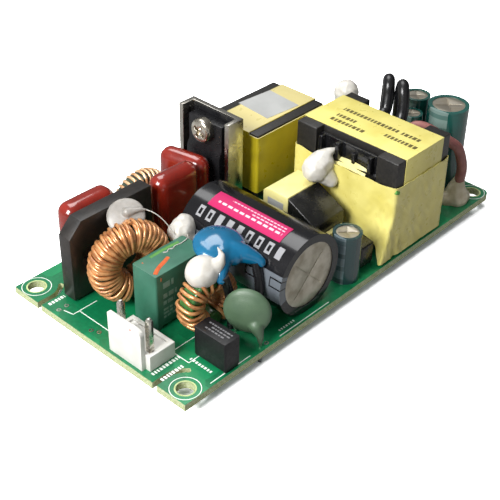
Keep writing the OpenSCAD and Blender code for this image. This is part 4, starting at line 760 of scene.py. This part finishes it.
def wrap_skin():
    """The film wrap round the transformer: bulged sides, a foot that flares at one corner, soft creases."""
    half_x, half_y, corner, low, high = 9.75, 14.15, 0.9, 0.45, 18.3
    around, rows, film = 260, 40, 0.16
    ring = []
    for sx, sy, start in ((1, 1, 0), (-1, 1, 90), (-1, -1, 180), (1, -1, 270)):
        for k in range(7):
            a = math.radians(start + 15 * k)
            ring.append((sx * (half_x - corner) + corner * math.cos(a), sy * (half_y - corner) + corner * math.sin(a),
                         math.cos(a), math.sin(a)))
    loop = []
    for (x0, y0, n0, m0), (x1, y1, n1, m1) in zip(ring, ring[1:] + ring[:1]):
        count = max(1, int(math.dist((x0, y0), (x1, y1)) / 0.3))
        loop += [[v + (w - v) * i / count for v, w in zip((x0, y0, n0, m0), (x1, y1, n1, m1))] for i in range(count)]
    bm = bmesh.new()
    grid = []
    for j in range(rows):
        t = j / (rows - 1)
        row = []
        for x, y, nx, ny in loop:
            west = max(0.0, -nx) ** 2
            share = max(0.0, -y / half_y) ** 3 * ((half_x - x) / (2 * half_x)) ** 1.5
            flare = 3.9 * share * (1 - t) ** 2.6
            lifted = low + 3.7 * west * min(1, max(0, (y + half_y - 0.9) / 1.6))
            z = lifted + (high + 0.12 * math.sin(x * 1.7 + y) - lifted) * t
            side = 1 - min(1, abs(y) / half_y) ** 3
            bulge = 0.8 * west * side * t + 0.25 * max(0.0, nx) ** 2 * side
            at = Vector((x * 0.45, y * 0.45, z * 0.16))
            crease = noise.noise(at + Vector((5, 2, 1))) * 0.16
            fold = abs(noise.noise(Vector((x * 0.5 + z * 0.35, y * 0.5, z * 0.2 + 3)))) * (0.9 * share * (1 - t) + 0.1)
            push = bulge + crease * (0.4 + 0.6 * west) - fold
            if ny < -0.5 or ny > 0.5:
                push = min(push, 0.05)
            row.append(bm.verts.new(spot(CORE[0] + x + nx * push - flare, CORE[1] + y + ny * push, z)))
        grid.append(row)
    for low_row, high_row in zip(grid, grid[1:]):
        for i in range(len(loop)):
            k = (i + 1) % len(loop)
            bm.faces.new((low_row[i], low_row[k], high_row[k], high_row[i]))
    bmesh.ops.recalc_face_normals(bm, faces=bm.faces)
    bm = evaluated(bm, ("SOLIDIFY", {"thickness": film * MM, "offset": -1}))
    return piece("transformer_wrap_film", mesh_of(bm, 40), "yellow_tape", replaces=["transformer_wrap"])


def boxes(bm, *ranges):
    """Adds boxes, each given by its limits along X, Y and Z in millimetres from the board."""
    for x0, x1, y0, y1, z0, z1 in ranges:
        middle, size = spot((x0 + x1) / 2, (y0 + y1) / 2, (z0 + z1) / 2), Vector((x1 - x0, y1 - y0, z1 - z0)) * MM
        bmesh.ops.create_cube(bm, size=1, matrix=Matrix.Translation(middle) @ Matrix.Diagonal((*size, 1)))


def eased(bm, width, segments=2, angle=30):
    """Rounds the sharp edges of a bmesh by a width in millimetres."""
    sharp = [e for e in bm.edges if len(e.link_faces) == 2 and e.calc_face_angle(0) > math.radians(angle)]
    bmesh.ops.bevel(bm, geom=sharp, offset=width * MM, segments=segments, profile=0.6, affect="EDGES",
                    clamp_overlap=True)


def bobbin():
    """The coil former: the CAD solid, with ribs before a thin wall where the wires run up between the legs."""
    bm = bmesh.new()
    bm.from_mesh(frame["nodes"]["transformer_bobbin"].data)
    bmesh.ops.remove_doubles(bm, verts=bm.verts, dist=2e-6)
    cutter = bmesh.new()
    boxes(cutter, (11.0, 14.0, -25.4, 3.4, 18.45, 24))
    knife = bpy.data.meshes.new("knife")
    cutter.to_mesh(knife)
    cutter.free()
    tool = bpy.data.objects.new("knife", knife)
    bpy.context.scene.collection.objects.link(tool)
    bm = evaluated(bm, ("BOOLEAN", {"object": tool, "operation": "DIFFERENCE", "solver": "EXACT"}))
    bpy.data.objects.remove(tool)
    bmesh.ops.dissolve_limit(bm, angle_limit=math.radians(0.6), verts=bm.verts, edges=bm.edges)
    eased(bm, 0.12)
    ribs = bmesh.new()
    boxes(ribs, (12.7, 13.5, -24, 2, 18.2, 22.7), (11.3, 13.1, -4.3, -3.3, 18.3, 22.6),
          (11.3, 13.1, -9.0, -8.0, 18.3, 22.6), (12.0, 13.1, -12.9, -12.1, 18.3, 21.4),
          (11.3, 13.1, -17.8, -16.8, 18.3, 22.6), (11.5, 13.1, -19.1, -2.9, 17.6, 18.6))
    eased(ribs, 0.1)
    extra = bpy.data.meshes.new("ribs")
    ribs.to_mesh(extra)
    ribs.free()
    bm.from_mesh(extra)
    return piece("transformer_bobbin_form", mesh_of(bm, 30), "bobbin", replaces=["transformer_bobbin"])


wrap_skin()
bobbin()


def extruded(name, profile, y0, y1, slot, width, replaces=()):
    """A profile in X and Z drawn out along Y, with eased edges."""
    bm = bmesh.new()
    ends = [[bm.verts.new(spot(x, y, z)) for x, z in profile] for y in (y0, y1)]
    bm.faces.new(ends[0])
    bm.faces.new(ends[1])
    for i in range(len(profile)):
        k = (i + 1) % len(profile)
        bm.faces.new((ends[0][i], ends[0][k], ends[1][k], ends[1][i]))
    bmesh.ops.recalc_face_normals(bm, faces=bm.faces)
    eased(bm, width)
    return piece(name, mesh_of(bm, 30), slot, replaces=replaces)


# the transistor stands on a black pad that insulates it from the bracket
extruded("insulating_pad", [(-0.55, 5), (-0.3, 5), (-0.3, 25.5), (-0.55, 25.5)], 10.6, 23.0, "black_case", 0.02)
extruded("power_transistor_body", [(-0.57, 8.2), (-0.57, 24.1), (-3.2, 24.1), (-3.2, 18.1), (-3.95, 16.5), (-3.95, 8.6),
                                   (-3.6, 8.2)], 11.75, 21.85, "black_case", 0.16, replaces=["power_transistor"])


def drum():
    """The little choke beside the transformer: a black block with rounded edges."""
    bm = bmesh.new()
    boxes(bm, (3.7, 8.2, -22.9, -18.4, 0.5, 5.9))
    eased(bm, 0.7, 4)
    return piece("drum_choke_body", mesh_of(bm, 40), "drum_sleeve", replaces=["drum_choke"])


drum()


def torn_flap():
    """The loose edge of a film layer, folded in before the wires' recess."""
    bm = bmesh.new()
    grid = []
    for i in range(25):
        y = -16.6 + 9.0 * i / 24
        rise = 0.9 + 0.5 * math.sin(math.pi * i / 24) + 0.1 * noise.noise(Vector((y, 0, 3)))
        grid.append([bm.verts.new(spot(11.0 + 1.5 * u ** 1.6, y, 17.9 + rise * u)) for u in (0, 0.3, 0.6, 0.85, 1)])
    for one, other in zip(grid, grid[1:]):
        for j in range(4):
            bm.faces.new((one[j], one[j + 1], other[j + 1], other[j]))
    bm = evaluated(bm, ("SOLIDIFY", {"thickness": 0.12 * MM}))
    return piece("transformer_film_flap", mesh_of(bm, 40), "pale_tape")


torn_flap()


# ---- Solids that keep their CAD shape, with their edges eased ----

EASED = {
    "inlet_housing": 0.15, "outlet_housing": 0.15, "inlet_pins": 0.06, "outlet_pins": 0.06, "fuse": 0.12,
    "x_capacitor": 0.16, "bridge_rectifier": 0.12, "heat_sink": 0.08,
    "transistor_leads": 0.05, "heat_sink_screw": 0.06, "transformer_core": 0.25,
    "boost_choke_core": 0.2, "boost_choke_bobbin": 0.12, "aux_transformer_core": 0.2,
    "aux_transformer_tape": 0.12, "bulk_capacitor_can": 0.05, "bulk_capacitor_sleeve": 0.0,
    "small_electrolytic_can": 0.04, "small_electrolytic_sleeve": 0.0, "output_capacitor_cans": 0.04,
    "output_capacitor_sleeves": 0.0, "small_choke_core": 0.0,
    "main_choke_core": 0.0, "rear_choke_core": 0.0,
    "bulk_capacitor_label": 0.0, "transformer_core_tape": 0.05, "boost_choke_wrap": 0.1,
   
   
}
for node, width in EASED.items():
    if width:
        softened(node, width)
    else:
        smooth_copy(node)
shown = [o for n, o in frame["nodes"].items() if not o.hide_render]
for solid in shown:
    solid.data.materials.clear()
    solid.data.materials.append(MATS[NODE_SLOT[solid.name]])


# ---- Sleeved leads ----

LEADS = {
    "black_lead_a": (2.7, "black_tube", [(31.2, -5.6, 20.6), (32.8, -5.4, 21.6), (33.9, -4.9, 24.2),
                     (34.6, -4.4, 26.4), (35.7, -3.5, 27.3), (36.8, -2.6, 26.4), (37.6, -2, 24), (38, -1.6, 19),
                     (38.2, -1.4, 10), (38.2, -1.4, 0)]),
    "black_lead_b": (2.7, "black_tube", [(31.2, -10.4, 20.6), (32.4, -10.2, 22.2), (33.2, -9.7, 24.8),
                     (33.8, -9, 26.9), (34.8, -8, 27.8), (35.7, -7.1, 26.9), (36.2, -6.6, 24.6),
                     (36.4, -6.4, 19), (36.4, -6.4, 10), (36.4, -6.4, 0)]),
    "pink_lead": (2.4, "pink_tube", [(31.2, -13.6, 20.2), (32.3, -14.2, 20.8), (33.6, -15.8, 20.6),
                  (35.2, -18, 19.3), (37.2, -20.2, 17.4), (38.9, -21.7, 15.6), (40.4, -22.2, 12.2),
                  (41.4, -22.2, 8.6), (41.7, -21.6, 4.4), (41.8, -21.2, 0)]),
}
for node, (diameter, slot, points) in LEADS.items():
    swept(node + "_tube", [[spot(*p) for p in smooth_route(points, 6)]], diameter, 24, slot, replaces=[node])
SLEEVES = [[(-30.9, -15.8, 13.7), (-30, -15.9, 11), (-29.2, -15.9, 8), (-28.7, -15.9, 4), (-28.6, -15.9, 0)],
           [(-23.5, -17.2, 13.8), (-23.9, -18.6, 10.8), (-24.4, -19.2, 8), (-24.8, -19.3, 4), (-24.8, -19.3, 0)]]
swept("blue_capacitor_tubes", [[spot(*p) for p in smooth_route(s, 6)] for s in SLEEVES], 1.9, 20, "black_tube",
      replaces=["blue_capacitor_sleeves"])


# ---- Room, light and camera ----

def stage():
    """A white table that runs up into a white backdrop, and soft daylight from the left."""
    def seen_by_camera(tree):
        path = tree.nodes.new("ShaderNodeLightPath")
        return path.outputs["Is Camera Ray"]

    # the camera sees the table at the brightness of paper, while its bounce stays that of grey card
    made = bpy.data.materials.new("table_white")
    made.use_nodes = True
    tree = made.node_tree
    tree.nodes.remove(tree.nodes["Principled BSDF"])
    card = add(tree, "ShaderNodeBsdfDiffuse", hex_colour("#989898"))
    paper = add(tree, "ShaderNodeBsdfDiffuse", (TABLE_GAIN, TABLE_GAIN, TABLE_GAIN, 1))
    # past the part's own shadows the table runs into the white backdrop
    reach = add(tree, "ShaderNodeVectorMath", add(tree, "ShaderNodeTexCoord", out="Object"), operation="LENGTH", out=1)
    white = add(tree, "ShaderNodeEmission", (1, 1, 1, 1), 1.0)
    paper = add(tree, "ShaderNodeMixShader", add(tree, RANGE, reach, 0.12, 0.3), paper, white)
    both = add(tree, "ShaderNodeMixShader", seen_by_camera(tree), card, paper)
    tree.links.new(both, tree.nodes["Material Output"].inputs["Surface"])
    bm = bmesh.new()
    bmesh.ops.create_grid(bm, x_segments=1, y_segments=1, size=3.0)
    mesh = mesh_of(bm)
    mesh.materials.append(made)
    floor = bpy.data.objects.new("table", mesh)
    bpy.context.scene.collection.objects.link(floor)

    world = bpy.data.worlds.new("studio")
    bpy.context.scene.world = world
    world.use_nodes = True
    wtree = world.node_tree
    back = wtree.nodes["Background"]
    back.inputs["Color"].default_value = (1, 1, 1, 1)
    aim = add(wtree, "ShaderNodeTexCoord", out="Generated")
    side = add(wtree, "ShaderNodeVectorMath", aim, (-0.55, 0.45, 0.7), operation="DOT_PRODUCT", out=1)
    sky = add(wtree, RANGE, side, -0.6, 1.0, *SKY)
    lit = add(wtree, MIX, seen_by_camera(wtree), None, sky, 1.0)
    wtree.links.new(lit, back.inputs["Strength"])

    for name, at, size, power in LAMPS:
        lamp = bpy.data.lights.new(name, "AREA")
        lamp.size, lamp.energy = size, power
        lamp_object = bpy.data.objects.new(name, lamp)
        lamp_object.location = at
        lamp_object.rotation_mode = "QUATERNION"
        lamp_object.rotation_quaternion = (Vector((0, 0, 0.01)) - Vector(at)).to_track_quat("-Z", "Y")
        bpy.context.scene.collection.objects.link(lamp_object)


TABLE_GAIN = 2.1
SKY = (0.03, 0.42)  # the room's brightness away from the window and towards it
LAMPS = (("window_left", (-0.5, 0.02, 0.38), 0.3, 6.4), ("top_fill", (0.08, 0.22, 0.55), 0.36, 2.3),
         ("front_fill", (-0.1, -0.5, 0.2), 0.3, 0.12))


def camera():
    azimuth, elevation, roll = (math.radians(a) for a in (-47.626, 35.572, 1.192))
    back = Vector((math.sin(azimuth) * math.cos(elevation), -math.cos(azimuth) * math.cos(elevation),
                   math.sin(elevation)))
    right = Vector((math.cos(azimuth), math.sin(azimuth), 0))
    up = back.cross(right)
    right, up = (right * math.cos(roll) + up * math.sin(roll), up * math.cos(roll) - right * math.sin(roll))
    turn = Matrix((right, up, back)).transposed()
    view = bpy.data.cameras.new("camera")
    view.sensor_width = 36.0
    view.lens = 77.12
    view.clip_start, view.clip_end = 0.01, 10
    held = bpy.data.objects.new("camera", view)
    held.matrix_world = Matrix.Translation(spot(-4.26118807, -3.12273618, 0) * 0) @ turn.to_4x4()
    held.location = turn @ (Vector((-4.26118807, -3.12273618, 239.8091653)) * MM) + Vector((0, 0, TOP * MM))
    bpy.context.scene.collection.objects.link(held)
    bpy.context.scene.camera = held


stage()
camera()
bpy.context.scene.view_settings.view_transform = "Standard"
